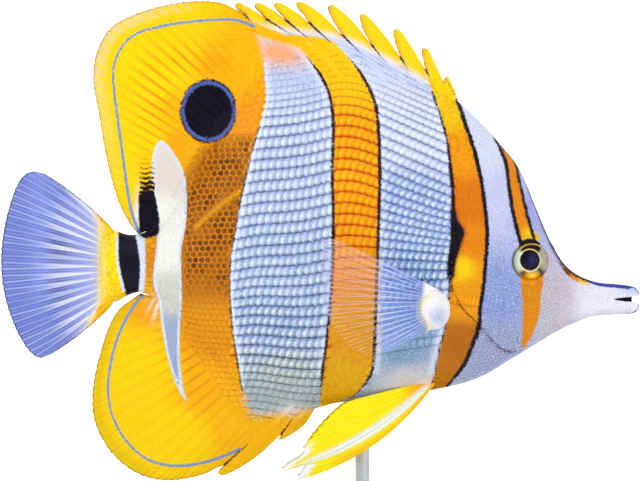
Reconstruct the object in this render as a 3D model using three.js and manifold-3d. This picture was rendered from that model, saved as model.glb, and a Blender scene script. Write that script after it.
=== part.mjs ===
import * as THREE from 'three';
import { mergeVertices } from 'three/addons/utils/BufferGeometryUtils.js';
import Module from 'manifold-3d';

// A life-size copperband butterflyfish on a display stand, in millimetres.
// +X points to the snout, +Z up, and the mid-plane of the fish is y = 0.

// Named sizes
const LENGTH = 180.6;
const GAP = 0.3;
const SNOUT_TIP = LENGTH / 2;
const PEDUNCLE_END = -57.7;
const PEDUNCLE_START = -48.5;
const SNOUT_START = 70;
const JAW_START = 80.4;
const MOUTH_LEVEL = 83.2;
const MOUTH_CORNER = 83.4;

const RING_STEPS = 8;
const HEAD_FROM = 38;
const HEAD_STEP = 2.3;
const TRUNK_STEP = 4.6;

// Half thicknesses of the fins
const FIN_BASE_HALF = 1.3;
const RAY_HALF = 0.62;
const TAIL_RAY_HALF = 1.3;
const RAY_MARGIN_HALF = 0.36;
const MEMBRANE_HALF = 0.27;
const MARGIN_HALF = 0.25;
const SPINE_HALF = 0.95;
// How deep a median fin's root line lies in the body, before the body is cut away from it
const ROOT_SINK = 3.5;
// Sideways reach of the curved soft rays, and of the tail's upper and lower edges
const RAY_BOW = 0.7;
const TAIL_BOW = 1.0;
// Length over which a paired fin swings away from the flank
const SWING = 1.6;

const SOFT_DORSAL_RAYS = 28;
const SOFT_ANAL_RAYS = 19;
const TAIL_RAYS = 15;
const PECTORAL_RAYS = 15;
const PELVIC_RAYS = 5;

const EYE = { x: 59.0, z: 94.0, radius: 5.25, depth: 3.4, y: 4.25, yaw: 0.24 };
const RIM = { radius: 5.75, tube: 0.55, y: 6.95 };
const NOSTRILS = [
  { x: 65.6, z: 95.6, radius: 0.42 },
  { x: 66.9, z: 93.9, radius: 0.34 },
];
const NOSTRIL_DEPTH = 0.8;
const LIP = { proud: 0.32, spread: 1.1 };

const OPERCULUM_PROUD = 0.4;
const OPERCULUM_INNER = -0.9;

const BASE = { length: 112, width: 66, height: 10, corner: 12, bevel: 1.5, x: 2 };
const ROD = { x: 12, radius: 2, footRadius: 9, footHeight: 2.6, cupRadius: 3.6, cupStart: 51.2, top: 58.8 };

// Material of each group of nodes
const COLOURS = {
  flesh: [0xcfd8e6, 0.38],
  bars: [0xf2a81c, 0.42],
  fin_yellow: [0xffc51a, 0.45],
  fin_tail: [0x8f9fe0, 0.42],
  fin_clear: [0xf3e3b4, 0.35],
  eye: [0x16142c, 0.12],
  snout: [0xe9e4f0, 0.35],
  base: [0x5a3a22, 0.5],
  rod: [0xc9ccd1, 0.3],
};

// A smooth function through a few points, given as [x, value] pairs
function through(points) {
  const slope = (i) => {
    const a = points[Math.max(0, i - 1)];
    const b = points[Math.min(points.length - 1, i + 1)];
    return (b[1] - a[1]) / (b[0] - a[0]);
  };
  return (x) => {
    let i = 0;
    while (i < points.length - 2 && x > points[i + 1][0]) i += 1;
    const [x0, v0] = points[i];
    const [x1, v1] = points[i + 1];
    const run = x1 - x0;
    const t = THREE.MathUtils.clamp((x - x0) / run, 0, 1);
    const t2 = t * t;
    const t3 = t2 * t;
    return v0 * (2 * t3 - 3 * t2 + 1) + v1 * (3 * t2 - 2 * t3)
      + run * (slope(i) * (t3 - 2 * t2 + t) + slope(i + 1) * (t3 - t2));
  };
}

// A smooth curve in the side plane through [x, z] points
function sideCurve(points, closed = false) {
  const corners = points.map(([x, z]) => new THREE.Vector3(x, 0, z));
  return new THREE.CatmullRomCurve3(corners, closed, 'centripetal');
}

// Outline of the body from the tail root to the lips
const topLine = through([
  [-57.7, 102.5], [-54.6, 101.4], [-51.5, 101.2], [-47.5, 102.2], [-43, 106.2], [-36.8, 115.5], [-29.7, 126.8],
  [-21.2, 136.2], [-11.3, 141.8], [0, 144.6], [11.3, 145.5], [22.6, 144.6], [31.1, 142.7],
  [38, 139.2], [43.4, 135.3], [51.1, 127], [56.7, 119.6], [60.7, 110.1], [65.4, 99.2],
  [70.2, 92.1], [77.1, 88.4], [85.8, 87.3], [89.2, 86.4], [SNOUT_TIP, 84.6],
]);
const bottomLine = through([
  [-57.7, 82.3], [-54.4, 84.4], [-51.2, 85.5], [-47.5, 85.1], [-42.5, 82.4], [-36.8, 76.7], [-30.6, 68.2],
  [-24.9, 60.3], [-19.8, 55.3], [-13, 53.2], [-0.6, 53.5], [11.3, 54.6], [22.6, 55.8],
  [33.6, 57.7], [41, 59.4], [47.2, 61.9], [52.6, 65.2], [61.1, 70.4], [68.4, 74.7],
  [77.1, 78.2], [85.8, 78.9], [89.2, 79.5], [SNOUT_TIP, 81.4],
]);
const widestLine = through([
  [-57.7, 93], [-40, 94], [-20, 95.7], [8, 97], [31, 95.7], [45, 93.8], [58, 91.5],
  [66, 87], [74, 84], [SNOUT_TIP, MOUTH_LEVEL],
]);
const halfWidth = through([
  [-57.7, 2.6], [-50, 3.3], [-40, 4.8], [-25, 7.3], [-10, 9.3], [5, 10.6], [20, 11.4],
  [32, 11.6], [42, 10.8], [52, 8.9], [60, 6.9], [66, 5.0], [72, 3.7], [80, 3.0], [86, 2.8],
  [89.2, 2.4], [SNOUT_TIP, 1.5],
]);
// How the section pinches in towards the back and the belly: 0.5 is an ellipse
const pinchAbove = through([
  [-57.7, 0.5], [-46, 0.6], [-35, 0.85], [25, 0.85], [48, 0.58], [60, 0.52], [SNOUT_TIP, 0.5],
]);
const pinchBelow = through([
  [-57.7, 0.5], [-46, 0.6], [-35, 0.85], [-12, 0.85], [12, 0.6], [48, 0.56], [SNOUT_TIP, 0.5],
]);
// Least half thickness, where the fins grow from the back and the belly
const finEdge = through([
  [-57.7, 0.2], [-46, 1], [-35, FIN_BASE_HALF], [34, FIN_BASE_HALF], [48, 0.4], [SNOUT_TIP, 0.1],
]);

// Half thickness of the body at x, at the share u of the height above or below its widest level
function sectionHalf(x, u, above) {
  const pinch = above ? pinchAbove(x) : pinchBelow(x);
  const bulk = halfWidth(x) * Math.pow(Math.max(0, 1 - u * u), pinch);
  const edge = finEdge(x) * Math.sqrt(Math.max(0, 1 - Math.pow(u, 8)));
  return Math.hypot(bulk, edge);
}

// Half thickness of the body at a point of the side view
function bodyHalf(x, z) {
  const level = widestLine(x);
  const above = z > level;
  const reach = above ? topLine(x) - level : level - bottomLine(x);
  return sectionHalf(x, Math.min(1, Math.abs(z - level) / reach), above);
}

// The lips stand proud of the snout along the mouth
function lips(x, z) {
  const inLips = THREE.MathUtils.smoothstep(x, MOUTH_CORNER - 1, MOUTH_CORNER + 1.5);
  return LIP.proud * inLips * Math.exp(-Math.pow((z - MOUTH_LEVEL) / LIP.spread, 2));
}

// Manifold solids from three.js geometry
const wasm = await Module();
wasm.setup();

function solidOf(geometry) {
  const bare = geometry.clone();
  bare.deleteAttribute('normal');
  bare.deleteAttribute('uv');
  const merged = mergeVertices(bare, 1e-4);
  return new wasm.Manifold(new wasm.Mesh({
    numProp: 3,
    vertProperties: new Float32Array(merged.attributes.position.array),
    triVerts: new Uint32Array(merged.index.array),
  }));
}

function geometryOf(solid) {
  const mesh = solid.getMesh();
  const geometry = new THREE.BufferGeometry();
  geometry.setAttribute('position', new THREE.BufferAttribute(mesh.vertProperties, 3));
  geometry.setIndex(new THREE.BufferAttribute(mesh.triVerts, 1));
  geometry.computeVertexNormals();
  return geometry;
}

function largest(solid) {
  const pieces = solid.decompose();
  return pieces.reduce((best, piece) => (piece.volume() > best.volume() ? piece : best));
}

// A closed surface from its corners and triangles, turned outwards if needed
function closedGeometry(points, faces) {
  let volume = 0;
  for (let i = 0; i < faces.length; i += 3) {
    const [a, b, c] = [points[faces[i]], points[faces[i + 1]], points[faces[i + 2]]];
    volume += a.dot(new THREE.Vector3().crossVectors(b, c));
  }
  if (volume < 0) faces.reverse();
  const geometry = new THREE.BufferGeometry().setFromPoints(points);
  geometry.setIndex(faces);
  return geometry;
}

// Body skin grown outwards by the given distance
function bodyRing(x, grow) {
  const level = widestLine(x);
  const ring = [];
  for (let i = 0; i < 4 * RING_STEPS; i += 1) {
    const angle = (i * Math.PI) / (2 * RING_STEPS);
    const up = Math.sin(angle);
    const above = up >= 0;
    const reach = (above ? topLine(x) - level : level - bottomLine(x)) + grow;
    const z = level + up * reach;
    const half = sectionHalf(x, Math.abs(up), above) + lips(x, z);
    const side = Math.sign(Math.round(Math.cos(angle) * 1e6));
    ring.push(new THREE.Vector3(x, side * (half + (Math.abs(up) < 1 ? grow : 0)), z));
  }
  return ring;
}

function bodyStations() {
  const stations = [];
  for (let x = PEDUNCLE_END; x < HEAD_FROM; x += TRUNK_STEP) stations.push(x);
  for (let x = HEAD_FROM; x < SNOUT_TIP - HEAD_STEP; x += HEAD_STEP) stations.push(x);
  stations.push(SNOUT_TIP - 1.1, SNOUT_TIP - 0.4, SNOUT_TIP);
  return stations;
}

function bodySolid(grow) {
  const rings = bodyStations().map((x) => bodyRing(x, grow));
  const count = rings[0].length;
  const points = rings.flat();
  const faces = [];
  for (let r = 0; r < rings.length - 1; r += 1) {
    for (let i = 0; i < count; i += 1) {
      const a = r * count + i;
      const b = r * count + ((i + 1) % count);
      faces.push(a, b, b + count, a, b + count, a + count);
    }
  }
  for (const [ring, flip] of [[0, true], [rings.length - 1, false]]) {
    const centre = points.length;
    const middle = new THREE.Vector3();
    rings[ring].forEach((point) => middle.addScaledVector(point, 1 / count));
    points.push(middle);
    for (let i = 0; i < count; i += 1) {
      const a = ring * count + i;
      const b = ring * count + ((i + 1) % count);
      faces.push(...(flip ? [centre, b, a] : [centre, a, b]));
    }
  }
  return solidOf(closedGeometry(points, faces));
}

// A prism through the whole fish over a region of the side view
function prism(outline, halfDepth = 40, middle = 0) {
  const shape = new THREE.Shape(outline.map(([x, z]) => new THREE.Vector2(x, z)));
  const geometry = new THREE.ExtrudeGeometry(shape, { depth: 2 * halfDepth, bevelEnabled: false });
  geometry.rotateX(Math.PI / 2);
  geometry.translate(0, middle + halfDepth, 0);
  return solidOf(geometry);
}

// The outline moved outwards by a distance
function outset(outline, distance) {
  const area = THREE.ShapeUtils.area(outline.map(([x, z]) => new THREE.Vector2(x, z)));
  const turn = area > 0 ? 1 : -1;
  return outline.map(([x, z], i) => {
    const before = outline[(i + outline.length - 1) % outline.length];
    const after = outline[(i + 1) % outline.length];
    const along = new THREE.Vector2(after[0] - before[0], after[1] - before[1]).normalize();
    return [x + along.y * distance * turn, z - along.x * distance * turn];
  });
}

function smoothOutline(points, count, closed = false) {
  const samples = sideCurve(points, closed).getSpacedPoints(count);
  if (closed) samples.pop();
  return samples.map((point) => [point.x, point.z]);
}

// A fin plate: columns run from root to margin, and the thickness varies over the grid
function plate(columns, rows, pointAt, halfAt) {
  const middle = [];
  for (let c = 0; c <= columns; c += 1) {
    for (let r = 0; r <= rows; r += 1) middle.push(pointAt(c, r));
  }
  const at = (c, r) => c * (rows + 1) + r;
  const total = middle.length;
  const normals = middle.map((point, index) => {
    const c = Math.floor(index / (rows + 1));
    const r = index % (rows + 1);
    const across = new THREE.Vector3().subVectors(
      middle[at(Math.min(columns, c + 1), r)], middle[at(Math.max(0, c - 1), r)]);
    const along = new THREE.Vector3().subVectors(
      middle[at(c, Math.min(rows, r + 1))], middle[at(c, Math.max(0, r - 1))]);
    return across.cross(along).normalize();
  });
  const front = middle.map((point, i) => {
    const half = halfAt(Math.floor(i / (rows + 1)), i % (rows + 1));
    return point.clone().addScaledVector(normals[i], half);
  });
  const back = middle.map((point, i) => {
    const half = halfAt(Math.floor(i / (rows + 1)), i % (rows + 1));
    return point.clone().addScaledVector(normals[i], -half);
  });
  const faces = [];
  const quad = (a, b, c, d) => faces.push(a, b, c, a, c, d);
  for (let c = 0; c < columns; c += 1) {
    for (let r = 0; r < rows; r += 1) {
      const [p, q, s, t] = [at(c, r), at(c + 1, r), at(c + 1, r + 1), at(c, r + 1)];
      quad(p, q, s, t);
      faces.push(p + total, s + total, q + total, p + total, t + total, s + total);
    }
  }
  for (let c = 0; c < columns; c += 1) {
    quad(at(c + 1, 0), at(c, 0), at(c, 0) + total, at(c + 1, 0) + total);
    quad(at(c, rows), at(c + 1, rows), at(c + 1, rows) + total, at(c, rows) + total);
  }
  for (let r = 0; r < rows; r += 1) {
    quad(at(0, r), at(0, r + 1), at(0, r + 1) + total, at(0, r) + total);
    quad(at(columns, r + 1), at(columns, r), at(columns, r) + total, at(columns, r + 1) + total);
  }
  return solidOf(closedGeometry([...front, ...back], faces));
}

// A point on a bowed line from a to b: bow is the sideways reach at its middle, in the side plane
function bowed(a, b, s, bow) {
  const along = new THREE.Vector3().subVectors(b, a);
  const side = new THREE.Vector3(-along.z, 0, along.x).normalize();
  return a.clone().addScaledVector(along, s).addScaledVector(side, 4 * bow * s * (1 - s));
}

// A fin of soft rays in the mid-plane, each ray a ridge of the membrane's own surface
function softFin({ root, margin, rays, rows, sink, bowAt, baseHalf = RAY_HALF, branch = 1 }) {
  const rootCurve = sideCurve(root);
  const marginCurve = sideCurve(margin);
  const perRay = 2 * branch;
  const columns = rays * perRay;
  const shares = Array.from({ length: rows + 1 }, (_, r) => Math.pow(r / rows, 1.15));
  const pointAt = (c, r) => {
    const a = rootCurve.getPointAt(c / columns);
    const b = marginCurve.getPointAt(c / columns);
    const start = a.clone().addScaledVector(new THREE.Vector3().subVectors(b, a).normalize(), -sink);
    return bowed(start, b, shares[r], bowAt(c / columns));
  };
  const halfAt = (c, r) => {
    const out = shares[r];
    const crest = THREE.MathUtils.lerp(baseHalf, RAY_MARGIN_HALF, out);
    const trough = THREE.MathUtils.lerp(MEMBRANE_HALF, MARGIN_HALF, out);
    const place = c % perRay;
    if (place === 0) return trough;
    if (branch === 2 && place === 2) return THREE.MathUtils.lerp(crest, trough, Math.min(1, out * 1.6));
    return crest;
  };
  return plate(columns, rows, pointAt, halfAt);
}

// Columns of a spiny fin's lobe up its front edge: share of the root, of that edge, and thickness
const LOBE_FRONT = [
  { root: 0, edge: 0, half: MEMBRANE_HALF },
  { root: 0.14, edge: 0.38, half: SPINE_HALF * 0.7 },
  { root: 0.28, edge: 0.74, half: SPINE_HALF },
  { root: 0.46, edge: 1, half: SPINE_HALF * 0.85 },
];
const LOBE_REAR = { root: 0.8, half: SPINE_HALF * 0.55 };

// A lobe's spine root, the bulge of its front edge, its tip, its rear edge and the notch behind it
const lobe = (root, bulge, tip, rear, notch) => ({ root, bulge, tip, rear, notch });

// A fin of spines: each is a leaf-shaped lobe with its spine as a crest and a groove behind it
function spinyFin({ start, lobes, end, rows }) {
  const columns = [];
  const point = ([x, z]) => new THREE.Vector3(x, 0, z);
  let from = point(start);
  lobes.forEach((leaf, i) => {
    const root = point(leaf.root);
    const nextRoot = point(lobes[i + 1]?.root ?? end);
    const tip = point(leaf.tip);
    const bulge = point(leaf.bulge).multiplyScalar(2);
    const control = bulge.addScaledVector(from, -0.5).addScaledVector(tip, -0.5);
    const front = new THREE.QuadraticBezierCurve3(from, control, tip);
    const rootAt = (share) => root.clone().lerp(nextRoot, share);
    for (const { root: share, edge, half } of LOBE_FRONT) {
      columns.push({ root: rootAt(share), tip: front.getPoint(edge), half });
    }
    columns.push({ root: rootAt(LOBE_REAR.root), tip: point(leaf.rear), half: LOBE_REAR.half });
    from = point(leaf.notch);
  });
  columns.push({ root: point(end), tip: from, half: MEMBRANE_HALF });
  const pointAt = (c, r) => {
    const { root, tip } = columns[c];
    const inwards = new THREE.Vector3().subVectors(tip, root).normalize().multiplyScalar(-ROOT_SINK);
    return inwards.add(root).lerp(tip, r / rows);
  };
  const halfAt = (c, r) => THREE.MathUtils.lerp(columns[c].half, MARGIN_HALF, Math.pow(r / rows, 1.4));
  return plate(columns.length - 1, rows, pointAt, halfAt);
}

// A paired fin that springs from the flank and fans out
function pairedFin({ side, root, margin, rays, rows, rise, slope, startY, bows }) {
  const rootCurve = sideCurve(root);
  const marginCurve = sideCurve(margin);
  const columns = 2 * rays;
  const shares = Array.from({ length: rows + 1 }, (_, r) => Math.pow(r / rows, 1.7));
  const pointAt = (c, r) => {
    const t = c / columns;
    const a = rootCurve.getPointAt(t);
    const b = marginCurve.getPointAt(t);
    const point = bowed(a, b, shares[r], THREE.MathUtils.lerp(bows[0], bows[1], t));
    const reach = a.distanceTo(point);
    point.y = side * (startY(a) + rise * (1 - Math.exp(-reach / SWING)) + slope * reach);
    return point;
  };
  const halfAt = (c, r) => {
    const crest = THREE.MathUtils.lerp(RAY_HALF, RAY_MARGIN_HALF, shares[r]);
    return c % 2 ? crest : THREE.MathUtils.lerp(MEMBRANE_HALF, MARGIN_HALF, shares[r]);
  };
  return plate(columns, rows, pointAt, halfAt);
}

// Body, parted where its parts are named
const body = bodySolid(0);
const clearance = bodySolid(GAP);

const gillEdge = [
  [38.5, 97.6], [36.8, 91], [37.4, 85.2], [41, 80.6], [44.4, 76.4], [48.4, 71.8], [51.6, 69.4],
];
const headBorder = smoothOutline([
  [43.5, 142], [42.8, 118], [41, 104], ...gillEdge, [53.8, 66.4], [54.5, 58],
], 26);
const headRegion = [...headBorder, [SNOUT_START, 58], [SNOUT_START, 142]];
const snoutRegion = [[SNOUT_START + GAP, 60], [JAW_START, 60], [JAW_START, 120], [SNOUT_START + GAP, 120]];
const jawsRegion = [[JAW_START + GAP, 60], [95, 60], [95, 120], [JAW_START + GAP, 120]];
const mouthCut = [
  [JAW_START, MOUTH_LEVEL - GAP / 2], [MOUTH_CORNER, MOUTH_LEVEL - GAP / 2], [88.4, 82.55],
  [89.6, 82.0], [92, 80.6], [92, 85.6], [89.7, 84.3], [88.6, 83.85],
  [MOUTH_CORNER, MOUTH_LEVEL + GAP / 2], [JAW_START, MOUTH_LEVEL + GAP / 2],
];
const tailRegion = [
  [PEDUNCLE_END - 5, 70], [PEDUNCLE_START, 70], [PEDUNCLE_START, 120], [PEDUNCLE_END - 5, 120],
];

const operculumOutline = smoothOutline([
  ...gillEdge, [52.3, 73.5], [50.9, 80], [50.6, 87], [49.3, 93.2], [46.5, 97.6], [42.4, 99.2],
], 40, true);
const operculumPocket = prism(outset(operculumOutline, GAP)).subtract(bodySolid(OPERCULUM_INNER - GAP));
const operculumPlate = bodySolid(OPERCULUM_PROUD).intersect(prism(operculumOutline))
  .intersect(prism(headRegion)).subtract(bodySolid(OPERCULUM_INNER));

function eyeball(side, grow) {
  const geometry = new THREE.SphereGeometry(1, 20, 10);
  geometry.rotateX(Math.PI / 2);
  geometry.scale(EYE.radius + grow, EYE.depth + grow, EYE.radius + grow);
  geometry.rotateZ(-side * EYE.yaw);
  geometry.translate(EYE.x, side * EYE.y, EYE.z);
  return solidOf(geometry);
}

function orbitRim(side) {
  const geometry = new THREE.TorusGeometry(RIM.radius, RIM.tube, 5, 22);
  geometry.rotateX(Math.PI / 2);
  geometry.rotateZ(-side * EYE.yaw);
  geometry.translate(EYE.x, side * RIM.y, EYE.z);
  return solidOf(geometry);
}

function nostril({ x, z, radius }, side) {
  const geometry = new THREE.CylinderGeometry(radius, radius, 4, 8);
  const depth = bodyHalf(x, z) - NOSTRIL_DEPTH + 2;
  geometry.translate(x, side * depth, z);
  return solidOf(geometry);
}

let head = body.intersect(prism(headRegion)).subtract(operculumPocket);
for (const side of [-1, 1]) {
  head = head.add(orbitRim(side)).subtract(eyeball(side, GAP));
  for (const pit of NOSTRILS) head = head.subtract(nostril(pit, side));
}
const torso = body.subtract(prism(outset(headRegion, GAP))).subtract(prism(outset(tailRegion, GAP)))
  .subtract(prism(snoutRegion)).subtract(prism(jawsRegion));
const peduncle = body.intersect(prism(tailRegion));
const snout = body.intersect(prism(snoutRegion));
const jaws = body.intersect(prism(jawsRegion)).subtract(prism(mouthCut));
const aboveMouth = prism([[70, MOUTH_LEVEL], [95, MOUTH_LEVEL], [95, 100], [70, 100]]);

// The part of a solid on one side of the fish, clear of the mid-plane
function halfOf(solid, side) {
  const depth = 40;
  const box = new THREE.BoxGeometry(220, depth, 220);
  box.translate(0, (side * (depth + GAP)) / 2, 100);
  return solid.intersect(solidOf(box));
}

// Dorsal fin: nine spines, then the soft part
const dorsalSpiny = spinyFin({
  start: [39.2, 139.8],
  lobes: [
    lobe([38.2, 138.4], [37.6, 143.5], [35.7, 146.4], [35.2, 145.5], [35, 144.7]),
    lobe([35.1, 140.7], [32.5, 150], [29.2, 154.2], [29.1, 151.4], [29.9, 148]),
    lobe([31.1, 142.4], [25.8, 154.8], [21.1, 159.6], [21.3, 155.7], [22.8, 151.7]),
    lobe([26, 143.8], [17.3, 159.1], [11.5, 163.8], [12.5, 158.8], [14.7, 155.1]),
    lobe([20.4, 144.9], [8.8, 162.3], [2.4, 166.3], [3.7, 161.8], [6.5, 157.7]),
    lobe([14.4, 145.2], [0.3, 163.9], [-6.7, 167], [-5.2, 164.3], [-3.2, 161.5]),
    lobe([8.8, 145.2], [-7.4, 164.9], [-13, 166.7], [-11.5, 164.3], [-9.6, 162.1]),
    lobe([3.7, 145.2], [-13.3, 165], [-18.5, 166.5], [-17, 164.6], [-15.3, 162.5]),
    lobe([-1.1, 144.4], [-18.8, 165], [-24, 166.5], [-22.8, 165.2], [-21.4, 163.8]),
  ],
  end: [-5.4, 143.5],
  rows: 6,
});
const dorsalSoft = softFin({
  root: [
    [-5.7, 143.3], [-17, 139.2], [-25, 132.6], [-31.5, 124], [-38, 113.4], [-43.4, 105.6],
    [-47.4, 102.1],
  ],
  margin: [
    [-21.8, 163.5], [-24.9, 165.7], [-27.6, 167], [-34.2, 167.6], [-42.5, 166.7], [-52, 164],
    [-59.4, 159.9], [-63.4, 152.5], [-64.2, 145.2], [-62.8, 136.7], [-60.2, 122], [-56.6, 109.8],
    [-53.4, 104], [-51.3, 101.5],
  ],
  rays: SOFT_DORSAL_RAYS,
  rows: 6,
  sink: ROOT_SINK,
  bowAt: (share) => -RAY_BOW * Math.min(1, share * 4),
});

// Anal fin: stout spines in two lobes, then the soft part
const analSpiny = spinyFin({
  start: [-1.1, 52.7],
  lobes: [
    lobe([-0.6, 54.6], [-4.5, 47.6], [-11.7, 43.5], [-11.3, 44.2], [-11.1, 44.8]),
    lobe([-4.8, 54.1], [-19.2, 37.7], [-28.8, 33.9], [-27.9, 35.1], [-26.9, 36.4]),
  ],
  end: [-10.2, 53.8],
  rows: 6,
});
const analSoft = softFin({
  root: [[-10.5, 54], [-18.6, 55.2], [-24.6, 60.2], [-30.6, 68], [-37, 76.9], [-43, 82.6], [-47, 84.8]],
  margin: [
    [-27.2, 36.7], [-29.4, 35.4], [-31.6, 34.2], [-36, 32.8], [-45, 32], [-52.9, 34.5],
    [-59.6, 40.4], [-63.6, 48], [-64.5, 55.5], [-62.3, 67.7], [-57.6, 79.4], [-50.9, 84.9],
  ],
  rays: SOFT_ANAL_RAYS,
  rows: 6,
  sink: ROOT_SINK,
  bowAt: (share) => RAY_BOW * Math.min(1, share * 4),
});

// Tail fin: branched rays fanning from the peduncle
const tail = softFin({
  root: [[PEDUNCLE_END - GAP, 101.8], [PEDUNCLE_END - GAP, 92.4], [PEDUNCLE_END - GAP, 83.1]],
  margin: [
    [-78.1, 118.8], [-81.8, 119.3], [-84.6, 117.4], [-88.5, 107.4], [-SNOUT_TIP, 95], [-89.2, 84],
    [-85.6, 73.7], [-82.2, 68.4], [-79.4, 66.6], [-76.1, 67.7],
  ],
  rays: TAIL_RAYS,
  rows: 6,
  sink: 0,
  bowAt: (share) => TAIL_BOW * (2 * share - 1),
  baseHalf: TAIL_RAY_HALF,
  branch: 2,
});

// Pectoral fins stand off the flank, and pelvic fins trail below the belly
const pectoralAt = (side) => pairedFin({
  side,
  root: [[33.8, 87.4], [34.4, 84], [34, 79.8]],
  margin: [
    [3.6, 100.4], [1, 99.4], [0.5, 93.5], [0.9, 86], [2.2, 78.8], [6, 72.6], [10.2, 69.2],
    [15.4, 67.9], [20.4, 69.4], [27.6, 74.4],
  ],
  rays: PECTORAL_RAYS,
  rows: 5,
  rise: 2.8,
  slope: 0.19,
  startY: (a) => bodyHalf(a.x, a.z) - 1.4,
  bows: [-0.4, 0.6],
});

function pelvicAt(side) {
  return pairedFin({
    side,
    root: [[33.2, 60.6], [31.4, 60.4], [29.4, 60]],
    margin: [[-7, 32.2], [-5.6, 39.6], [-1.6, 45.4], [2.4, 49.6], [6, 51.8], [9.4, 53]],
    rays: PELVIC_RAYS + 1,
    rows: 6,
    rise: 0.6,
    slope: 0.095,
    startY: () => 2.6,
    bows: [4.6, 0],
  });
}

// Display stand: a bevelled base and one turned rod with a foot and a cup
function standBase() {
  const { length, width, height, corner, bevel, x } = BASE;
  const [a, b] = [length / 2 - bevel, width / 2 - bevel];
  const shape = new THREE.Shape();
  shape.moveTo(-a + corner, -b);
  shape.lineTo(a - corner, -b);
  shape.absarc(a - corner, -b + corner, corner, -Math.PI / 2, 0);
  shape.lineTo(a, b - corner);
  shape.absarc(a - corner, b - corner, corner, 0, Math.PI / 2);
  shape.lineTo(-a + corner, b);
  shape.absarc(-a + corner, b - corner, corner, Math.PI / 2, Math.PI);
  shape.lineTo(-a, -b + corner);
  shape.absarc(-a + corner, -b + corner, corner, Math.PI, Math.PI * 1.5);
  const geometry = new THREE.ExtrudeGeometry(shape, {
    depth: height - 2 * bevel,
    bevelThickness: bevel,
    bevelSize: bevel,
    bevelSegments: 2,
    curveSegments: 4,
  });
  geometry.translate(x, 0, bevel);
  return solidOf(geometry);
}

function standRod() {
  const foot = BASE.height + GAP;
  const { radius, footRadius, footHeight, cupRadius, cupStart, top } = ROD;
  const profile = [
    [0, foot], [footRadius - 0.5, foot], [footRadius, foot + 0.5], [footRadius, foot + footHeight - 0.8],
    [footRadius - 0.8, foot + footHeight], [radius + 2.2, foot + footHeight + 0.4],
    [radius + 0.6, foot + footHeight + 1.4], [radius, foot + footHeight + 3.4], [radius, cupStart - 2],
    [radius + 0.5, cupStart - 0.8], [cupRadius, cupStart + 0.8], [cupRadius, top], [0, top],
  ];
  const geometry = new THREE.LatheGeometry(profile.map(([r, z]) => new THREE.Vector2(r, z)), 16);
  geometry.rotateX(Math.PI / 2);
  geometry.translate(ROD.x, 0, 0);
  return solidOf(geometry).subtract(clearance);
}

// The finished nodes
const group = new THREE.Group();
group.name = 'copperband_butterflyfish';

function addNode(name, solid, look) {
  const [colour, roughness] = COLOURS[look];
  const material = new THREE.MeshStandardMaterial({
    color: colour,
    roughness,
    metalness: look === 'rod' ? 0.9 : 0,
    side: THREE.DoubleSide,
  });
  const mesh = new THREE.Mesh(geometryOf(largest(solid)), material);
  mesh.name = name;
  group.add(mesh);
}

const rooted = (fin) => fin.subtract(clearance);

addNode('torso', torso, 'flesh');
addNode('head', head, 'flesh');
addNode('snout', snout, 'snout');
addNode('upper_jaw', jaws.intersect(aboveMouth), 'snout');
addNode('lower_jaw', jaws.subtract(aboveMouth), 'snout');
addNode('peduncle', peduncle, 'bars');
addNode('tail_fin', tail, 'fin_tail');
addNode('dorsal_fin_spiny', rooted(dorsalSpiny), 'fin_yellow');
addNode('dorsal_fin_soft', rooted(dorsalSoft), 'fin_yellow');
addNode('anal_fin_spiny', rooted(analSpiny), 'fin_yellow');
addNode('anal_fin_soft', rooted(analSoft), 'fin_yellow');
for (const [suffix, side] of [['right', -1], ['left', 1]]) {
  addNode(`gill_cover_${suffix}`, halfOf(operculumPlate, side), 'flesh');
  addNode(`eye_${suffix}`, eyeball(side, 0), 'eye');
  addNode(`pectoral_fin_${suffix}`, rooted(pectoralAt(side)), 'fin_clear');
  addNode(`pelvic_fin_${suffix}`, rooted(pelvicAt(side)), 'fin_yellow');
}
addNode('stand_base', standBase(), 'base');
addNode('stand_rod', standRod(), 'rod');

export default group;
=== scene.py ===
# A life-size copperband butterflyfish on a display stand: skin, scales, fins, eyes and stand.
# Sizes are in millimetres in the fish's own frame: +X to the snout, +Z up, mid-plane at y = 0.
import math

import bmesh
import bpy
import numpy as np
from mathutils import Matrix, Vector


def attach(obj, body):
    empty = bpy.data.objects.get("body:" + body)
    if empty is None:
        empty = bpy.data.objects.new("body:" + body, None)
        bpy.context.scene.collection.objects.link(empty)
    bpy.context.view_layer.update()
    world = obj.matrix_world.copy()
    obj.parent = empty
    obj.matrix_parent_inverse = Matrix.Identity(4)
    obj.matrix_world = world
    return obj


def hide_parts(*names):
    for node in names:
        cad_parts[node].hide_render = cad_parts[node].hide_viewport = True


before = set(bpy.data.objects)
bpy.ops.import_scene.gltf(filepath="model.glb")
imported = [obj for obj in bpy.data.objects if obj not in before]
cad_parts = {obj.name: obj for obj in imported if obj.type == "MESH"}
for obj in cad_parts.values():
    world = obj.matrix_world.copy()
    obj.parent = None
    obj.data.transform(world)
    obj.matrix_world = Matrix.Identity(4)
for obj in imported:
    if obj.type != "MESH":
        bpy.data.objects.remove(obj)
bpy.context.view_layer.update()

MM = 0.001
SIDES = {"right": -1, "left": 1}
random = np.random.default_rng(7)

# Named sizes
SNOUT_TIP = 90.3
TAIL_ROOT = -57.7
MOUTH_LEVEL = 83.2
MOUTH_CORNER = 83.4
TAIL_LEVEL = 93.3
FIN_BASE_HALF = 1.3
SHEATH_HALF = 0.62
EYE = {"x": 59.0, "z": 94.0, "radius": 5.25, "depth": 3.4, "y": 4.25, "yaw": 0.24}
PUPIL = {"a": -0.85, "b": 0.25, "radius": 2.85}
NOSTRILS = [(65.6, 95.6, 0.42), (66.9, 93.9, 0.34)]
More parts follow.
